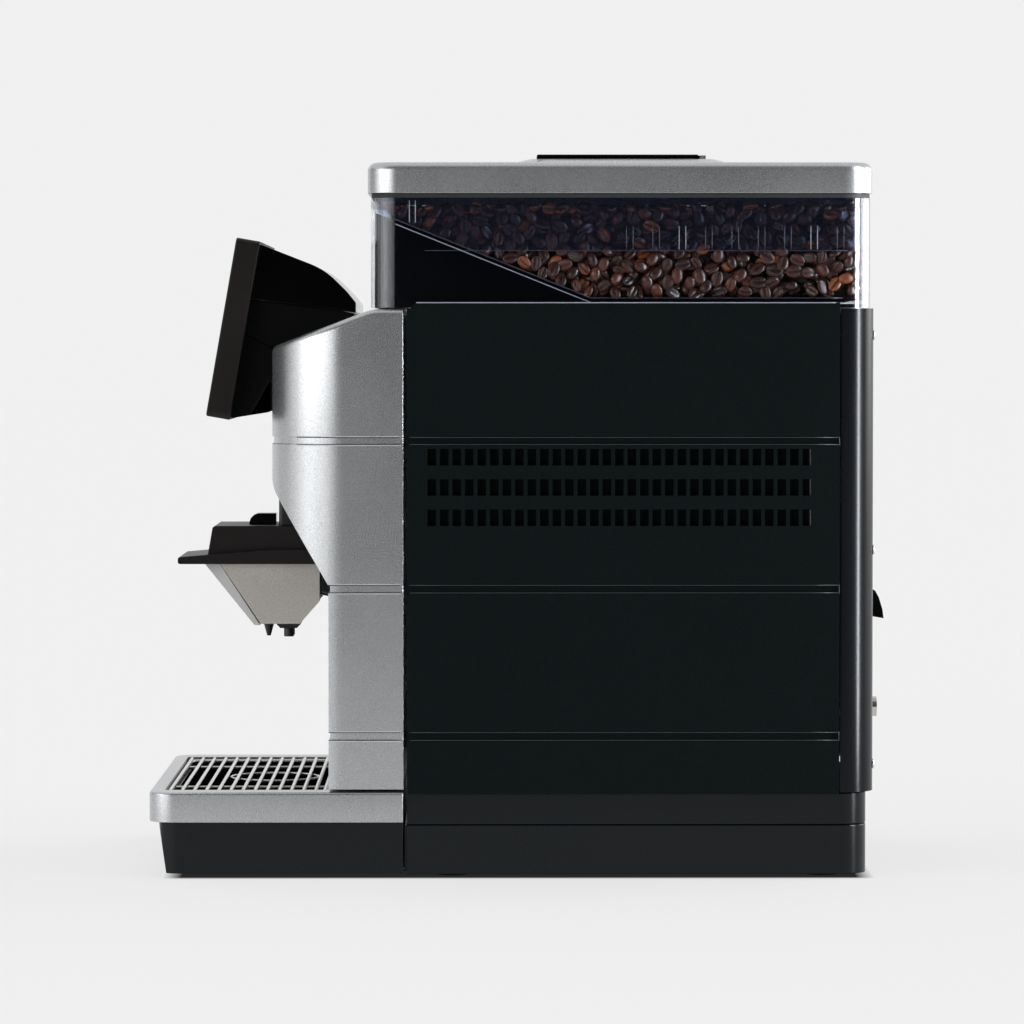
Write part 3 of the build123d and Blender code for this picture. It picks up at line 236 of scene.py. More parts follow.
def glow(name, rgb, strength):
    """A lit part of the screen picture, with a faint change of brightness across it."""
    s = Shader(name)
    shader = s.add("ShaderNodeBsdfPrincipled")
    shader.inputs["Roughness"].default_value = 0.3
    colour = s.mix(s.ramp(s.noise(24.0, 2.0), 0.3, 0.7), shade(rgb, 0.88), rgb)
    s.link(colour, shader.inputs["Base Color"])
    s.link(colour, shader.inputs["Emission Color"])
    shader.inputs["Emission Strength"].default_value = strength
    s.link(shader.outputs[0], s.out.inputs["Surface"])
    return s.material


SILVER = dict(
    rough=0.28, rough_spread=0.02, grain=1100.0, depth=0.00003, tone=0.02,
    metal=0.85, specular=0.4, fleck=0.3, fleck_scale=1500.0,
)
MATERIALS = {
    "panel_black": surface(
        "panel_paint", (0.0034, 0.0068, 0.0076), 0.48, 1500.0, 0.00005, 0.04,
        rough_spread=0.015, specular=0.06, fleck=0.35,
    ),
    "cover_grey": surface(
        "rear_paint", (0.0024, 0.0034, 0.0062), 0.2, 1300.0, 0.00001, 0.04,
        rough_spread=0.02, specular=0.18, fleck=0.3,
    ),
    "plinth_black": surface(
        "plinth_moulding", (0.0035, 0.0058, 0.0078), 0.2, 1600.0, 0.00002, 0.05,
        rough_spread=0.03, specular=0.22, fleck=0.1,
    ),
    "silver_paint": surface("silver_paint", (0.535, 0.546, 0.562), **SILVER),
    "gloss_black": surface(
        "gloss_black", (0.0012, 0.0012, 0.0014), 0.1, 500.0, 0.000004, 0.2,
        rough_spread=0.03, specular=0.22,
    ),
    "brown_black": surface(
        "brown_black", (0.011, 0.008, 0.0078), 0.42, 1300.0, 0.00004, 0.06,
        specular=0.2, fleck=0.3,
    ),
    "anthracite": surface(
        "anthracite_satin", (0.0016, 0.002, 0.0026), 0.34, 1500.0, 0.00004, 0.1,
        specular=0.14, fleck=0.2,
    ),
    "screen_glass": surface(
        "screen_glass", (0.006, 0.007, 0.009), 0.06, 300.0, 0.000002, 0.15,
        rough_spread=0.02, coat=1.0,
    ),
    "column_black": surface(
        "column_black", (0.006, 0.0065, 0.008), 0.16, 600.0, 0.000006, 0.15,
        rough_spread=0.04, coat=0.3,
    ),
    "rack_black": surface("rack_black", (0.006, 0.006, 0.006), 0.5, 1200.0, 0.00003),
    "spout_metal": surface(
        "spout_metal", (0.62, 0.585, 0.535), 0.36, 1200.0, 0.00004, 0.05,
        metal=0.7, fleck=0.22, fleck_scale=1400.0,
    ),
    "spout_plate": surface("spout_plate", (0.62, 0.62, 0.62), 0.16, 900.0, 0.00001, 0.05, coat=0.4),
    "nozzle_black": surface("nozzle_black", (0.006, 0.006, 0.006), 0.35, 1300.0, 0.00003),
    "stainless": surface(
        "stainless_wire", (0.66, 0.65, 0.64), 0.24, 700.0, 0.00002, 0.06,
        metal=1.0, stretch=(0.06, 1.0, 1.0),
    ),
    "seal_rubber": surface("seal_rubber", (0.008, 0.009, 0.011), 0.6, 1000.0, 0.00004, 0.15),
    "zinc_sheet": surface(
        "zinc_sheet", (0.44, 0.46, 0.48), 0.36, 260.0, 0.00003, 0.12,
        cloud=40.0, metal=1.0, fleck=0.1,
    ),
    "fitting_black": surface("fitting_black", (0.007, 0.007, 0.008), 0.4, 1200.0, 0.00003),
    "plated_brass": surface(
        "plated_brass", (0.60, 0.58, 0.53), 0.22, 600.0, 0.00002, 0.08,
        metal=1.0, wear=0.4, wear_rgb=(0.62, 0.48, 0.26),
    ),
    "cast_alloy": surface("cast_alloy", (0.48, 0.48, 0.49), 0.46, 500.0, 0.00012, 0.1, metal=1.0),
    "hard_steel": surface(
        "hard_steel", (0.42, 0.42, 0.42), 0.26, 900.0, 0.00002, 0.08,
        metal=1.0, stretch=(1.0, 1.0, 0.1),
    ),
    "motor_black": surface(
        "motor_enamel", (0.012, 0.012, 0.014), 0.35, 800.0, 0.00005, 0.12,
        wear=0.4, wear_rgb=(0.2, 0.2, 0.2),
    ),
    "duct_grey": surface("duct_grey", (0.06, 0.06, 0.065), 0.5, 1100.0, 0.00003),
    "bin_grey": surface(
        "grounds_box", (0.022, 0.022, 0.025), 0.45, 1200.0, 0.00004, 0.12,
        wear=0.3, wear_rgb=(0.1, 0.1, 0.1),
    ),
    "brew_plastic": surface(
        "brew_plastic", (0.026, 0.018, 0.015), 0.36, 1100.0, 0.00003, 0.12,
        wear=0.3, wear_rgb=(0.1, 0.08, 0.07),
    ),
    "piston_white": surface("piston_white", (0.62, 0.6, 0.55), 0.38, 900.0, 0.00002, 0.06),
    "boiler_steel": surface(
        "boiler_steel", (0.52, 0.51, 0.5), 0.3, 700.0, 0.00003, 0.1,
        metal=1.0, stretch=(1.0, 1.0, 0.08),
    ),
    "pump_black": surface("pump_black", (0.013, 0.013, 0.015), 0.45, 1000.0, 0.00004),
    "coil_black": surface("coil_black", (0.012, 0.012, 0.02), 0.4, 1000.0, 0.00004),
    "tank_white": surface("tank_white", (0.62, 0.65, 0.66), 0.42, 600.0, 0.00003, 0.05),
    "silicone_hose": surface("silicone_hose", (0.55, 0.55, 0.52), 0.4, 500.0, 0.00003, 0.05),
    "board_green": surface("board_green", (0.01, 0.075, 0.028), 0.32, 900.0, 0.00006, 0.15, coat=0.3),
    "fan_black": surface("fan_black", (0.008, 0.008, 0.008), 0.4, 1200.0, 0.00003),
    "clear_bin": clear_plastic("clear_bin", (0.93, 0.94, 0.955), (0.93, 0.94, 0.97), 0.5, least=0.02),
    "collar": clear_plastic(
        "smoked_collar", (0.83, 0.86, 0.94), (0.045, 0.052, 0.09), 0.5,
        metal=0.0, least=0.12,
    ),
    "smoked": surface(
        "bin_insert", (0.0008, 0.0012, 0.0028), 0.12, 700.0, 0.000005, 0.2,
        rough_spread=0.04, specular=0.25,
    ),
    "coffee_beans": bean_skin(),
}
SLOT = {entry["node"]: entry["material_slot"] for entry in frame["record"]["subparts"]}
OVERRIDE = {"hopper_collar": "collar"}


def paint(obj, material):
    """Gives an object one material."""
    obj.data.materials.clear()
    obj.data.materials.append(material)


def soften(obj, width, angle=32.0):
    """Small rounded edges on a CAD node, for the thin highlights that real edges have."""
    mesh = obj.data
    if "custom_normal" in mesh.attributes:
        mesh.attributes.remove(mesh.attributes["custom_normal"])
    mesh.polygons.foreach_set("use_smooth", [True] * len(mesh.polygons))
    weld = obj.modifiers.new("weld", "WELD")
    weld.merge_threshold = 0.000004
    bevel = obj.modifiers.new("edges", "BEVEL")
    bevel.width = width
    bevel.segments = 2
    bevel.limit_method = "ANGLE"
    bevel.angle_limit = math.radians(angle)
    bevel.harden_normals = True
    bevel.use_clamp_overlap = False
    bevel.miter_outer = "MITER_ARC"


# Widths of the rounded edges, in millimetres.
SOFT_EDGES = {
    "base_pan": 0.6, "plinth_band": 0.4, "tray_basin": 0.6, "tray_bezel": 0.5, "grounds_box": 0.4,
    "display_frame": 0.4, "display_hood": 0.5, "display_neck": 0.5, "display_back": 0.5,
    "spout_hood": 0.5, "spout_body": 0.35, "spout_front": 0.5, "spout_nozzles": 0.3,
    "hopper_floor": 0.5, "hopper_collar": 0.25, "lid_shell": 0.4,
    "front_panel": 0.5, "door_shell": 0.35,
    "main_switch_frame": 0.3, "main_switch_rocker": 0.4, "power_inlet": 0.3,
}
for node, obj in nodes.items():
    paint(obj, MATERIALS[OVERRIDE.get(node, SLOT[node])])
    if node in SOFT_EDGES:
        soften(obj, SOFT_EDGES[node] * MM)


# ---- beans --------------------------------------------------------------------------
RNG = np.random.default_rng(7)
AROUND, ALONG = 20, 10
TRIES = 60000  # random places tried in each layer
CREASE_OUT = 0.62  # share of beans that show their crease
BEAN_HALF = (5.5, 7.0)  # half length of a bean, in millimetres
GAP = 9.4 * MM  # least distance between beans in a layer


def bean_shape(variant):
    """One bean of unit half length: domed on top, flat with a crease below. Returns points, faces and the
    painted shade of each point, strongest in the crease.
    """
    r = np.random.default_rng(variant)
    bend = r.uniform(-0.10, 0.10)
    width, height = r.uniform(0.70, 0.80), r.uniform(0.50, 0.58)
    points, painted_shade = [], []
    for j in range(1, ALONG):
        t = math.pi * j / ALONG
        for i in range(AROUND):
            a = 2 * math.pi * i / AROUND
            x = math.cos(t)
            ring = math.sin(t) ** 0.85
            y, z = ring * math.cos(a) * width, ring * math.sin(a) * height
            cut = 0.0
            if z < 0:
                z *= 0.55
                middle = bend * math.sin(2.6 * x)
                cut = math.exp(-((y - middle) / 0.08) ** 2) * max(0.0, 1 - abs(x) ** 6)
                z += 0.24 * cut
            points.append((x, y, z))
            # The crease mask is also painted shade on the bean's colour, and the two tips get a little of it.
            painted_shade.append(min(1.0, cut * 1.3))
    points += [(1.0, 0, 0), (-1.0, 0, 0)]
    painted_shade += [0.3, 0.3]
    faces = []
    for j in range(ALONG - 2):
        for i in range(AROUND):
            k = (i + 1) % AROUND
            faces.append((j * AROUND + i, j * AROUND + k, (j + 1) * AROUND + k, (j + 1) * AROUND + i))
    tip, tail = len(points) - 2, len(points) - 1
    last = (ALONG - 2) * AROUND
    for i in range(AROUND):
        k = (i + 1) % AROUND
        faces.append((tip, k, i))
        faces.append((last + i, last + k, tail))
    return np.array(points), faces, np.array(painted_shade)


SHAPES = [bean_shape(v) for v in range(8)]


def turned(outward, spread):
    """A rotation that puts a bean's dome or its creased side outward, at a random angle in the plane."""
    w = np.array(outward, float) + RNG.normal(0, spread, 3)
    w /= np.linalg.norm(w)
    if RNG.random() < CREASE_OUT:
        w = -w
    u = np.cross(w, RNG.normal(0, 1, 3))
    u /= np.linalg.norm(u)
    v = np.cross(w, u)
    return np.stack([u, v, w], axis=1)


def scatter(inside, low, high, gap, tries):
    """Random places in a rectangle, no two nearer than a gap, kept where inside(a, b) is true."""
    found = []
    cell = {}
    for _ in range(tries):
        a, b = RNG.uniform(low[0], high[0]), RNG.uniform(low[1], high[1])
        if not inside(a, b):
            continue
        ka, kb = int(a // gap), int(b // gap)
        near = [p for i in (-1, 0, 1) for j in (-1, 0, 1) for p in cell.get((ka + i, kb + j), ())]
        if any((p[0] - a) ** 2 + (p[1] - b) ** 2 < gap * gap for p in near):
            continue
        cell.setdefault((ka, kb), []).append((a, b))
        found.append((a, b))
    return found


def bean_heap(name, places, spread=0.3):
    """One mesh of many beans; places are centres in metres with the direction that faces out."""
    points, faces, painted_shade, tone = [], [], [], []
    total = 0
    for centre, outward in places:
        shape, shape_faces, shape_shade = SHAPES[RNG.integers(len(SHAPES))]
        size = RNG.uniform(*BEAN_HALF) * MM
        points.append(shape @ turned(outward, spread).T * size + np.array(centre))
        faces += [tuple(i + total for i in f) for f in shape_faces]
        painted_shade.append(shape_shade)
        pick = RNG.random()
        value = 0.88 + 0.12 * RNG.random() if pick > 0.92 else 0.30 + 0.48 * RNG.random()
        tone.append(np.full(len(shape), value))
        total += len(shape)
    mesh = bpy.data.meshes.new(name)
    mesh.from_pydata(np.concatenate(points).tolist(), [], faces)
    for key, values in (("painted_shade", painted_shade), ("tone", tone)):
        attribute = mesh.attributes.new(key, "FLOAT", "POINT")
        attribute.data.foreach_set("value", np.concatenate(values))
    mesh.polygons.foreach_set("use_smooth", [True] * len(mesh.polygons))
    obj = bpy.data.objects.new(name, mesh)
    bpy.context.scene.collection.objects.link(obj)
    paint(obj, MATERIALS["coffee_beans"])
    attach(obj, "cabinet")
    return obj


fill_lo, fill_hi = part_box("bean_fill")
floor_lo, floor_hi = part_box("hopper_floor")
collar_lo, collar_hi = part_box("hopper_collar")
SLOPE_END_Y, SLOPE_RUN, SLOPE_RISE = 0.059, 0.1767, 0.071  # the bin floor's sloping front part
CORNER = 18.7 * MM  # inner radius of the bin's corners
LAYER_DEPTHS = (4.4 * MM, 10.2 * MM)
STEP_IN = 4.4 * MM  # how far the collar stands in from the wall


def slope_height(y):
    """How much the sloping part of the bin floor stands above its flat part."""
    return max(0.0, (SLOPE_END_Y - y) * SLOPE_RISE / SLOPE_RUN)


def floor_height(y):
    """Height of the bin floor under the beans."""
    return fill_lo.z - 1.2 * MM + slope_height(y)


def wall_path(depth):
    """Follows the inside of the bin's right, rear and left walls at a depth: place and outward direction."""
    wall, back, radius = floor_hi.x, floor_hi.y, CORNER
    front = fill_lo.y + 12 * MM
    side = back - radius - front
    arc = math.pi / 2 * (radius - depth)
    rear = 2 * (wall - radius)
    total = 2 * side + 2 * arc + rear

    def at(u):
        flip = 1.0
        if u > total / 2:
            u, flip = total - u, -1.0
        if u < side:
            return Vector((flip * (wall - depth), front + u, 0)), Vector((flip, 0, 0))
        if u < side + arc:
            turn = (u - side) / arc * math.pi / 2
            out = Vector((math.cos(turn), math.sin(turn), 0))
            spot = Vector((wall - radius, back - radius, 0)) + out * (radius - depth)
            return Vector((flip * spot.x, spot.y, 0)), Vector((flip * out.x, out.y, 0))
        return Vector((flip * (wall - radius - (u - side - arc)), back - depth, 0)), Vector((0, 1, 0))

    return at, total


def wall_beans(depth):
    """Beans along the walls, each as its share of the path, its place and the outward direction."""
    at, total = wall_path(depth)

    def inside(u, z):
        return z > floor_height(at(u)[0].y) + 4.4 * MM

    found = []
    for u, z in scatter(inside, (0, fill_lo.z), (total, fill_hi.z - 3 * MM), GAP, TRIES):
        spot, out = at(u)
        step = STEP_IN if z > collar_lo.z - 4 * MM else 0.0
        spot = spot - out * (step + RNG.normal(0, 0.5 * MM))
        found.append((u / total, (spot.x, spot.y, z), tuple(out)))
    return found


def top_places():
    """Places of the beans that lie on top of the heap."""
    low = (fill_lo.x + 2 * MM, fill_lo.y + 6 * MM)
    high = (fill_hi.x - 2 * MM, fill_hi.y - 4 * MM)
    spots = scatter(lambda x, y: True, low, high, GAP, TRIES)
    return [(x, y, fill_hi.z - 3.4 * MM + RNG.normal(0, 0.8 * MM)) for x, y in spots]


wall_layers = [bean for depth in LAYER_DEPTHS for bean in wall_beans(depth)]
for quarter in range(4):
    some = [(spot, out) for u, spot, out in wall_layers if quarter <= u * 4 < quarter + 1]
    bean_heap("beans_wall_%d" % (quarter + 1), some)
top_layer = [(spot, (0, 0, 1)) for spot in top_places()]
for half in range(2):
    some = [(spot, out) for spot, out in top_layer if (spot[1] > 0.08) == bool(half)]
    bean_heap("beans_top_%d" % (half + 1), some)
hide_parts("bean_fill")


def bean_core():
    """The mass of beans behind the visible layers, painted dark as shade."""
    mesh = bpy.data.meshes.new("bean_core")
    bm = bmesh.new()
    half, front, back = fill_hi.x - 12 * MM, fill_lo.y + 16 * MM, fill_hi.y - 12 * MM
    low, high = fill_lo.z + 1.0 * MM, fill_hi.z - 9 * MM
    start = floor_height(front) + 6 * MM
    profile = [(front, high), (front, start), (SLOPE_END_Y + 8 * MM, low), (back, low), (back, high)]
    left = [bm.verts.new((-half, y, z)) for y, z in profile]
    right = [bm.verts.new((half, y, z)) for y, z in profile]
    bm.faces.new(left)
    bm.faces.new(right[::-1])
    for i in range(len(profile)):
        k = (i + 1) % len(profile)
        bm.faces.new((left[i], right[i], right[k], left[k]))
    bmesh.ops.recalc_face_normals(bm, faces=bm.faces)
    bmesh.ops.triangulate(bm, faces=bm.faces)
    bmesh.ops.subdivide_edges(bm, edges=bm.edges, cuts=20, use_grid_fill=True)
    for v in bm.verts:
        v.co += Vector(RNG.normal(0, 1.3 * MM, 3))
    bm.to_mesh(mesh)
    bm.free()
    # Painted shade: the core gets a strong darkening value and a dark tone all over.
    for key, value in (("painted_shade", 0.75), ("tone", 0.25)):
        attribute = mesh.attributes.new(key, "FLOAT", "POINT")
        attribute.data.foreach_set("value", np.full(len(mesh.vertices), value))
    obj = bpy.data.objects.new("bean_core", mesh)
    bpy.context.scene.collection.objects.link(obj)
    paint(obj, MATERIALS["coffee_beans"])
    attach(obj, "cabinet")


bean_core()


# ---- painted highlights and painted shade along fine edges -------------------------
def beads(name, lines, radius, material, body="cabinet"):
    """Thin rounded strips along lines of points, with closed ends."""
    mesh = bpy.data.meshes.new(name)
    bm = bmesh.new()
    sides = 8
    for line in lines:
        rings = []
        for k, point in enumerate(line):
            before, after = Vector(line[max(0, k - 1)]), Vector(line[min(len(line) - 1, k + 1)])
            along = (after - before).normalized()
            across = along.cross(Vector((1, 0, 0)))
            across = across.normalized() if across.length > 0.1 else Vector((0, 0, 1))
            out = along.cross(across).normalized()
            ring = []
            for i in range(sides):
                turn = 2 * math.pi * i / sides
                spot = Vector(point) + (across * math.cos(turn) + out * math.sin(turn)) * radius
                ring.append(bm.verts.new(spot))
            rings.append(ring)
        for one, two in zip(rings, rings[1:]):
            for i in range(sides):
                k = (i + 1) % sides
                bm.faces.new((one[i], one[k], two[k], two[i]))
        bm.faces.new(rings[0][::-1])
        bm.faces.new(rings[-1])
    bmesh.ops.recalc_face_normals(bm, faces=bm.faces)
    bm.to_mesh(mesh)
    bm.free()
    mesh.polygons.foreach_set("use_smooth", [True] * len(mesh.polygons))
    obj = bpy.data.objects.new(name, mesh)
    bpy.context.scene.collection.objects.link(obj)
    paint(obj, material)
    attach(obj, body)
    return obj


def both_sides(lines):
    """The lines and their mirror images in the middle plane."""
    return [[(side * x, y, z) for x, y, z in line] for line in lines for side in (1, -1)]


# Painted highlights and painted shade: pale strips stand for light caught on fine edges, dark strips for the
# shade in the door grooves.
painted_highlight = surface("bin_edge_highlight", (0.42, 0.44, 0.54), 0.3, 900.0, 0.00001, 0.1)
faint_painted_highlight = surface("bin_edge_faint_highlight", (0.07, 0.075, 0.11), 0.3, 900.0, 0.00001, 0.1)
panel_painted_highlight = surface("panel_edge_highlight", (0.042, 0.05, 0.055), 0.35, 900.0, 0.00001, 0.1)
groove_painted_shade = surface("door_groove_shade", (0.03, 0.031, 0.034), 0.5, 900.0, 0.00001, 0.1)
groove_painted_highlight = surface("door_groove_highlight", (0.62, 0.64, 0.67), 0.4, 900.0, 0.00001, 0.1)
PANELS = ((1, "side_panel_right"), (-1, "side_panel_left"))
GROOVES = ((0.3549, 0.3607), (0.2338, 0.2400), (0.1132, 0.1196))  # lower and upper edge of each groove
RIB_PITCH = 21.5 * MM
RIB_START_Y = 0.0905
LIT_RIBS = (2, 7)  # the ribs whose edges get the bright painted highlights
panel_lo, panel_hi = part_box("side_panel_right")
slope_front = floor_lo.y + 17 * MM
rear_end = floor_hi.y - 20 * MM


def level_line(x, z, start, run, steps):
    """A straight level line from front to rear."""
    return [(x, start + run * i / steps, z) for i in range(steps + 1)]


def slope_line(offset, y_from, y_to, steps=12):
    """A line on the bin wall that follows the bin floor, moved up or down by an offset."""
    places = [y_from + (y_to - y_from) * i / steps for i in range(steps + 1)]
    x, low = floor_hi.x + 0.1 * MM, fill_lo.z - 0.2 * MM
    return [(x, y, low + slope_height(y) + offset) for y in places]


def bin_edges():
    """Painted highlights along the edges of the bin floor, the collar's lower edge and the ledges under the
    bin.
    """
    drop = -3.9 * MM
    bright = [slope_line(drop, slope_front, SLOPE_END_Y), slope_line(drop, SLOPE_END_Y, rear_end)]
    bright = both_sides(bright)
    for side, node in PANELS:
        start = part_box(node)[0].y + 8 * MM
        run = panel_lo.y + 350 * MM - start
        bright.append(level_line(side * (panel_hi.x - 0.75 * MM), panel_hi.z - 0.2 * MM, start, run, 57))
    faint = [slope_line(0.0, slope_front, SLOPE_END_Y), slope_line(0.0, SLOPE_END_Y, rear_end)]
    run = rear_end - slope_front - 20 * MM
    faint.append(level_line(collar_hi.x - 0.1 * MM, collar_lo.z, slope_front + 24 * MM, run, 20))
    beads("bin_edge_highlights", bright, 0.42 * MM, painted_highlight)
    beads("bin_edge_faint_highlights", both_sides(faint), 0.36 * MM, faint_painted_highlight)


def bin_ribs():
    """Painted highlights on the edges of the collar's upright ribs: two near the front, and a row of nine
    pairs.
    """
    x = collar_hi.x + 0.08 * MM
    faint, lit = [], []
    for i in range(9):
        for shift in (-2.7, 2.7):
            y = RIB_START_Y + RIB_PITCH * i + shift * MM
            rib = [(x, y, collar_lo.z + (1 + 19 * k / 4) * MM) for k in range(5)]
            (lit if i in LIT_RIBS else faint).append(rib)
    for shift in (-2.2, 2.6):
        lit.append([(x, (shift - 87) * MM, (536 + 4.5 * k) * MM) for k in range(5)])
    beads("bin_rib_faint_highlights", both_sides(faint), 0.3 * MM, faint_painted_highlight)
    beads("bin_rib_highlights", both_sides(lit), 0.36 * MM, painted_highlight)


def panel_edge_highlights():
    """Painted highlights along the edges of the side panels' grooves, top and rear."""
    top_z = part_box("rear_cover")[1].z
    lines = []
    for side, node in PANELS:
        lo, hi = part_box(node)
        x = side * (panel_hi.x - 0.34 * MM)
        for z in [z for groove in GROOVES for z in groove] + [top_z - 0.3 * MM]:
            lines.append(level_line(x, z, lo.y + 2 * MM, hi.y - lo.y - 3 * MM, 12))
        foot, rise = lo.z + 3 * MM, top_z - lo.z - 4 * MM
        lines.append([(x, hi.y - 0.4 * MM, foot + rise * i / 12) for i in range(13)])
    beads("panel_edge_highlights", lines, 0.28 * MM, panel_painted_highlight)


def door_line(tree, side, z):
    """A level line round the side of the door moulding, from its rear edge to its rounded front."""
    y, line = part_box("door_shell")[1].y - 2 * MM, []
    while True:
        place = tree.ray_cast(Vector((side * 0.25, y, z)), Vector((-side, 0, 0)))[0]
        if place is None or abs(place.x) < panel_hi.x - 14 * MM:
            return line
        line.append((place.x - side * 0.15 * MM, y, z))
        y -= 1 * MM


def door_lines():
    """Along both edges of each groove in the door moulding: a painted shade line on the edge and a painted
    highlight line just outside it.
    """
    mesh = nodes["door_shell"].data
    tree = BVHTree.FromPolygons([v.co for v in mesh.vertices], [p.vertices[:] for p in mesh.polygons])
    dark, light = [], []
    for low, high in GROOVES:
        for side in (1, -1):
            dark += [door_line(tree, side, low), door_line(tree, side, high)]
            light += [door_line(tree, side, low - 0.7 * MM), door_line(tree, side, high + 0.7 * MM)]
    sets = (("door_groove_shade_lines", dark, groove_painted_shade), ("door_groove_highlight_lines", light, groove_painted_highlight))
    for name, lines, material in sets:
        long_lines = [line for line in lines if len(line) > 20]
        beads(name, long_lines, 0.36 * MM, material, "door")


bin_edges()
bin_ribs()
panel_edge_highlights()
door_lines()


# ---- screen picture -------------------------------------------------------------------
SCREEN_LEAN = math.radians(9.85)
screen_up = Vector((0, math.sin(SCREEN_LEAN), math.cos(SCREEN_LEAN)))
screen_out = Vector((0, -math.cos(SCREEN_LEAN), math.sin(SCREEN_LEAN)))


def screen_plane():
    """The glass's front face: the point under its middle at its lower edge, from the node's own mesh."""
    vertices = nodes["display_glass"].data.vertices
    front = max(v.co.dot(screen_out) for v in vertices)
    low = min(v.co.dot(screen_up) for v in vertices)
    return screen_out * front + screen_up * low


SCREEN = screen_plane()
ICE = glow("screen_light", (0.75, 0.85, 0.95), 0.55)
AMBER = glow("screen_amber", (0.85, 0.45, 0.16), 0.5)
TILE = glow("screen_tile", (0.035, 0.045, 0.06), 0.25)


def screen_shape(outline, x, up, depth):
    """Points of a flat outline, in millimetres on the screen, as places in the frame."""
    return [SCREEN + Vector((1, 0, 0)) * (x + a) * MM + screen_up * (up + b) * MM + screen_out * depth * MM
            for a, b in outline]


def round_rect(w, h, r, steps=5):
    """Outline of a rectangle with rounded corners, round its own middle."""
    points = []
    x, y = w / 2 - r, h / 2 - r
    for cx, cy, start in ((x, y, 0), (-x, y, 90), (-x, -y, 180), (x, -y, 270)):
        for i in range(steps + 1):
            a = math.radians(start + 90 * i / steps)
            points.append((cx + r * math.cos(a), cy + r * math.sin(a)))
    return points


def cup(width, height, taper):
    """A cup: the outline of its bowl, and the outer and inner line of its handle."""
    top, foot = width / 2, width / 2 * taper
    high, low = height / 2, -height / 2
    bowl = [(-top, high), (-foot, low + 1), (-foot + 1, low), (foot - 1, low), (foot, low + 1), (top, high)]
    x, y = top * 0.9, 0.6
    turns = [math.radians(-80 + 160 * i / 12) for i in range(13)]
    ring = [(x + 3.4 * math.cos(a), y + 3.2 * math.sin(a)) for a in turns]
    inner = [(x + (a - x) * 0.62, y + (b - y) * 0.62) for a, b in ring]
    return bowl, ring, inner


def flat_piece(name, outlines, bands, material, depth):
    """Flat shapes that lie on the screen, as one thin piece."""
    mesh = bpy.data.meshes.new(name)
    bm = bmesh.new()
    for x, up, outline in outlines:
        bm.faces.new([bm.verts.new(p) for p in screen_shape(outline, x, up, depth)])
    for x, up, outer, inner in bands:
        a = [bm.verts.new(p) for p in screen_shape(outer, x, up, depth)]
        b = [bm.verts.new(p) for p in screen_shape(inner, x, up, depth)]
        for i in range(len(a) - 1):
            bm.faces.new((a[i], a[i + 1], b[i + 1], b[i]))
    bmesh.ops.recalc_face_normals(bm, faces=bm.faces)
    for face in bm.faces:
        face.normal_update()
        if face.normal.dot(screen_out) < 0:
            face.normal_flip()
    bm.to_mesh(mesh)
    bm.free()
    obj = bpy.data.objects.new(name, mesh)
    bpy.context.scene.collection.objects.link(obj)
    paint(obj, material)
    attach(obj, "door")
    return obj


# Tiles and cups on the screen, in millimetres from the middle of its lower edge.
tile_centres = [(x, up) for up in (98, 42) for x in (-105, -35, 35, 105)]
flat_piece("screen_tiles", [(x, up, round_rect(62, 48, 6)) for x, up in tile_centres], [], TILE, 0.06)
CUP_SIZES = [(13, 11), (17, 13), (20, 14), (15, 17), (13, 20), (18, 18), (21, 16), (16, 14)]
cups, handles = [], []
for (x, up), (w, h) in zip(tile_centres, CUP_SIZES):
    bowl, ring, inner = cup(w, h, 0.66)
    cups.append((x, up + 2, bowl))
    handles.append((x, up + 2, ring, inner))
    cups.append((x, up - 4 - h / 2, round_rect(w * 1.25, 1.6, 0.7)))
flat_piece("screen_cups", cups, handles, ICE, 0.12)
levels = [(x - 10 + 10 * i, up - 19, round_rect(3.4, 3.4, 1.6)) for x, up in tile_centres for i in range(3)]
flat_piece("screen_levels", levels, [], AMBER, 0.12)


# ---- stage, lights and camera -----------------------------------------------------------
DIM_FROM_X = (1.25, 2.3)  # where the floor turns dark on the camera's side, in metres
DIM_WITHIN_Y = (0.7, 1.7)


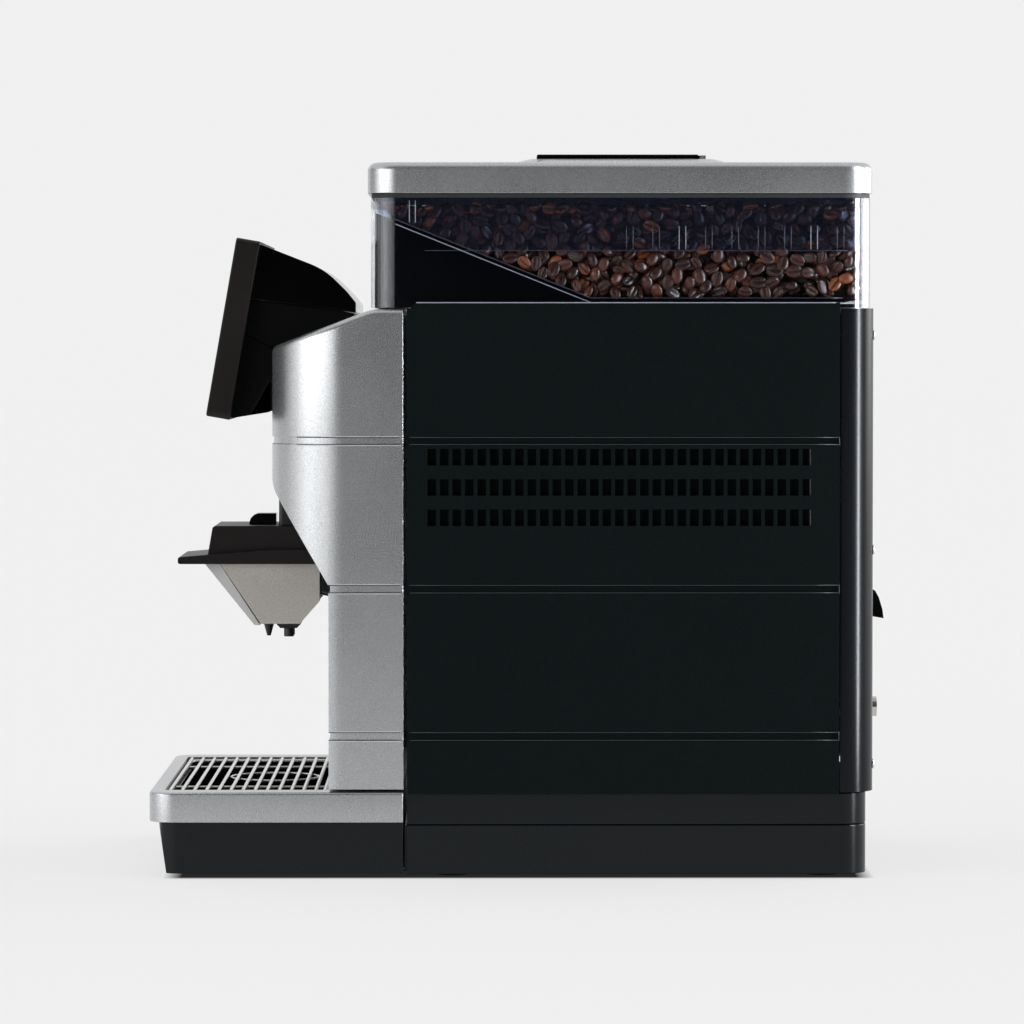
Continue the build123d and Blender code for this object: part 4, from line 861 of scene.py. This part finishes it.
def studio_floor(size, glow_level, albedo):
    """A wide pale floor, partly lit from within: dimmer where the camera stands, with a painted contact
    shadow under the object.
    """
    mesh = bpy.data.meshes.new("floor")
    corners = [(-size, -size, 0), (size, -size, 0), (size, size, 0), (-size, size, 0)]
    mesh.from_pydata(corners, [], [(0, 1, 2, 3)])
    obj = bpy.data.objects.new("floor", mesh)
    bpy.context.scene.collection.objects.link(obj)
    s = Shader("floor")
    place = s.add("ShaderNodeSeparateXYZ")
    s.link(s.coords, place.inputs[0])
    far_x = s.ramp(place.outputs[0], *DIM_FROM_X)
    near_y = s.ramp(s.math("ABSOLUTE", place.outputs[1], 0.0), *DIM_WITHIN_Y, 1.0, 0.0)
    keep = s.math("SUBTRACT", 1.0, s.math("MULTIPLY", s.math("MULTIPLY", far_x, near_y), 0.93))
    # Painted contact shadow: glow and colour fade to almost nothing under the object's footprint and just
    # past its edges.
    half = cad_box[1][0]
    from_axis = s.math("ABSOLUTE", place.outputs[0], 0.0)
    contact_shadow_x = s.ramp(from_axis, half - 9 * MM, half + 3 * MM, 1.0, 0.0)
    middle = (cad_box[0][1] + cad_box[1][1]) / 2
    reach = (cad_box[1][1] - cad_box[0][1]) / 2 - 14 * MM
    from_middle = s.math("ABSOLUTE", s.math("SUBTRACT", place.outputs[1], middle), 0.0)
    contact_shadow_y = s.ramp(from_middle, reach - 12 * MM, reach + 3 * MM, 1.0, 0.0)
    keep = s.math("SUBTRACT", keep, s.math("MULTIPLY", s.math("MULTIPLY", contact_shadow_x, contact_shadow_y), 0.97))
    lit = s.add("ShaderNodeEmission")
    s.link(s.math("MULTIPLY", keep, glow_level), lit.inputs["Strength"])
    matt = s.add("ShaderNodeBsdfDiffuse")
    s.link(s.mix(keep, (0.0, 0.0, 0.0), (albedo, albedo, albedo)), matt.inputs["Color"])
    both = s.add("ShaderNodeAddShader")
    s.link(lit.outputs[0], both.inputs[0])
    s.link(matt.outputs[0], both.inputs[1])
    s.link(both.outputs[0], s.out.inputs["Surface"])
    paint(obj, s.material)


studio_floor(size=40.0, glow_level=0.69, albedo=0.21)


def world_zone(tree, direction, towards, edge_out, edge_in):
    """1 inside a cone round a direction and 0 outside it, with a soft edge; edges are in degrees."""
    dot = tree.nodes.new("ShaderNodeVectorMath")
    dot.operation = "DOT_PRODUCT"
    tree.links.new(direction, dot.inputs[0])
    dot.inputs[1].default_value = Vector(towards).normalized()
    band = tree.nodes.new("ShaderNodeMapRange")
    band.interpolation_type = "SMOOTHSTEP"
    band.inputs["From Min"].default_value = math.cos(math.radians(edge_out))
    band.inputs["From Max"].default_value = math.cos(math.radians(edge_in))
    tree.links.new(dot.outputs["Value"], band.inputs["Value"])
    return band.outputs["Result"]


def world_add(tree, base, zone, strength):
    """Adds light of a strength to a level where a zone is 1."""
    node = tree.nodes.new("ShaderNodeMath")
    node.operation = "MULTIPLY_ADD"
    tree.links.new(zone, node.inputs[0])
    node.inputs[1].default_value = strength
    tree.links.new(base, node.inputs[2])
    return node.outputs[0]


BACKDROP = 0.872
NEAR_LEVEL = 0.09  # brightness of the dim side that the right panel faces
CENTRE_DIP = -0.07  # change of brightness in the middle of that side
# Lamps round the object: azimuth in degrees from +X, and strength. A negative one darkens.
FRONT_LAMPS = ((-25, 1.5), (-39, 2.2), (-54, 2.8), (-68, 1.8), (-84, 0.4), (-104, -0.45), (-122, -0.5))
REAR_LAMPS = ((63, 3.0), (72, 2.0), (104, 4.0), (116, 4.5), (128, 3.0))
LAMP_RISES = (0.06, 0.26)
LAMP_EDGES = (11, 6)  # outer and inner edge of a lamp's cone, in degrees
world = bpy.data.worlds.new("studio")
world.use_nodes = True
sky_tree = world.node_tree
sky = sky_tree.nodes["Background"]
look = sky_tree.nodes.new("ShaderNodeTexCoord").outputs["Generated"]
start = sky_tree.nodes.new("ShaderNodeValue")
start.outputs[0].default_value = BACKDROP
level = start.outputs[0]
level = world_add(sky_tree, level, world_zone(sky_tree, look, (1, 0, 0.05), 80, 44), NEAR_LEVEL - BACKDROP)
level = world_add(sky_tree, level, world_zone(sky_tree, look, (1, 0, 0.02), 20, 10), CENTRE_DIP)
for azimuth, strength in FRONT_LAMPS + REAR_LAMPS:
    a = math.radians(azimuth)
    for rise in LAMP_RISES:
        zone = world_zone(sky_tree, look, (math.cos(a), math.sin(a), rise), *LAMP_EDGES)
        level = world_add(sky_tree, level, zone, strength)
sky.inputs["Color"].default_value = (1.0, 1.0, 1.0, 1)
seen = sky_tree.nodes.new("ShaderNodeLightPath").outputs["Is Camera Ray"]
shown = sky_tree.nodes.new("ShaderNodeMix")
sky_tree.links.new(seen, shown.inputs["Factor"])
sky_tree.links.new(level, shown.inputs["A"])
shown.inputs["B"].default_value = BACKDROP
sky_tree.links.new(shown.outputs["Result"], sky.inputs["Strength"])
bpy.context.scene.world = world


def strip_lamp(name, azimuth, distance, width, height, power):
    """A tall narrow lamp that shows only as a highlight in shiny surfaces."""
    data = bpy.data.lights.new(name, "AREA")
    data.shape = "RECTANGLE"
    data.size, data.size_y = width, height
    data.energy = power
    data.color = (0.88, 0.93, 1.0)
    lamp = bpy.data.objects.new(name, data)
    a = math.radians(azimuth)
    lamp.location = (distance * math.cos(a), distance * math.sin(a), height / 2 + 0.02)
    lamp.rotation_mode = "QUATERNION"
    lamp.rotation_quaternion = Vector((-math.cos(a), -math.sin(a), 0)).to_track_quat("-Z", "Y")
    lamp.visible_diffuse = False
    bpy.context.scene.collection.objects.link(lamp)


strip_lamp("rear_strip", azimuth=62, distance=1.3, width=0.12, height=1.4, power=34.0)
bpy.context.scene.view_settings.view_transform = "Standard"
bpy.context.scene.view_settings.look = "None"

CAMERA_PLACE = (4.255, -0.031, 0.4377)
CAMERA_AIM = Vector((-1.0, 0.00625, -0.0339))
camera_data = bpy.data.cameras.new("camera")
camera_data.lens = 175.3
camera_data.sensor_width = 36.0
camera_data.clip_end = 60.0
camera = bpy.data.objects.new("camera", camera_data)
camera.location = CAMERA_PLACE
camera.rotation_mode = "QUATERNION"
camera.rotation_quaternion = CAMERA_AIM.to_track_quat("-Z", "Y")
bpy.context.scene.collection.objects.link(camera)
bpy.context.scene.camera = camera
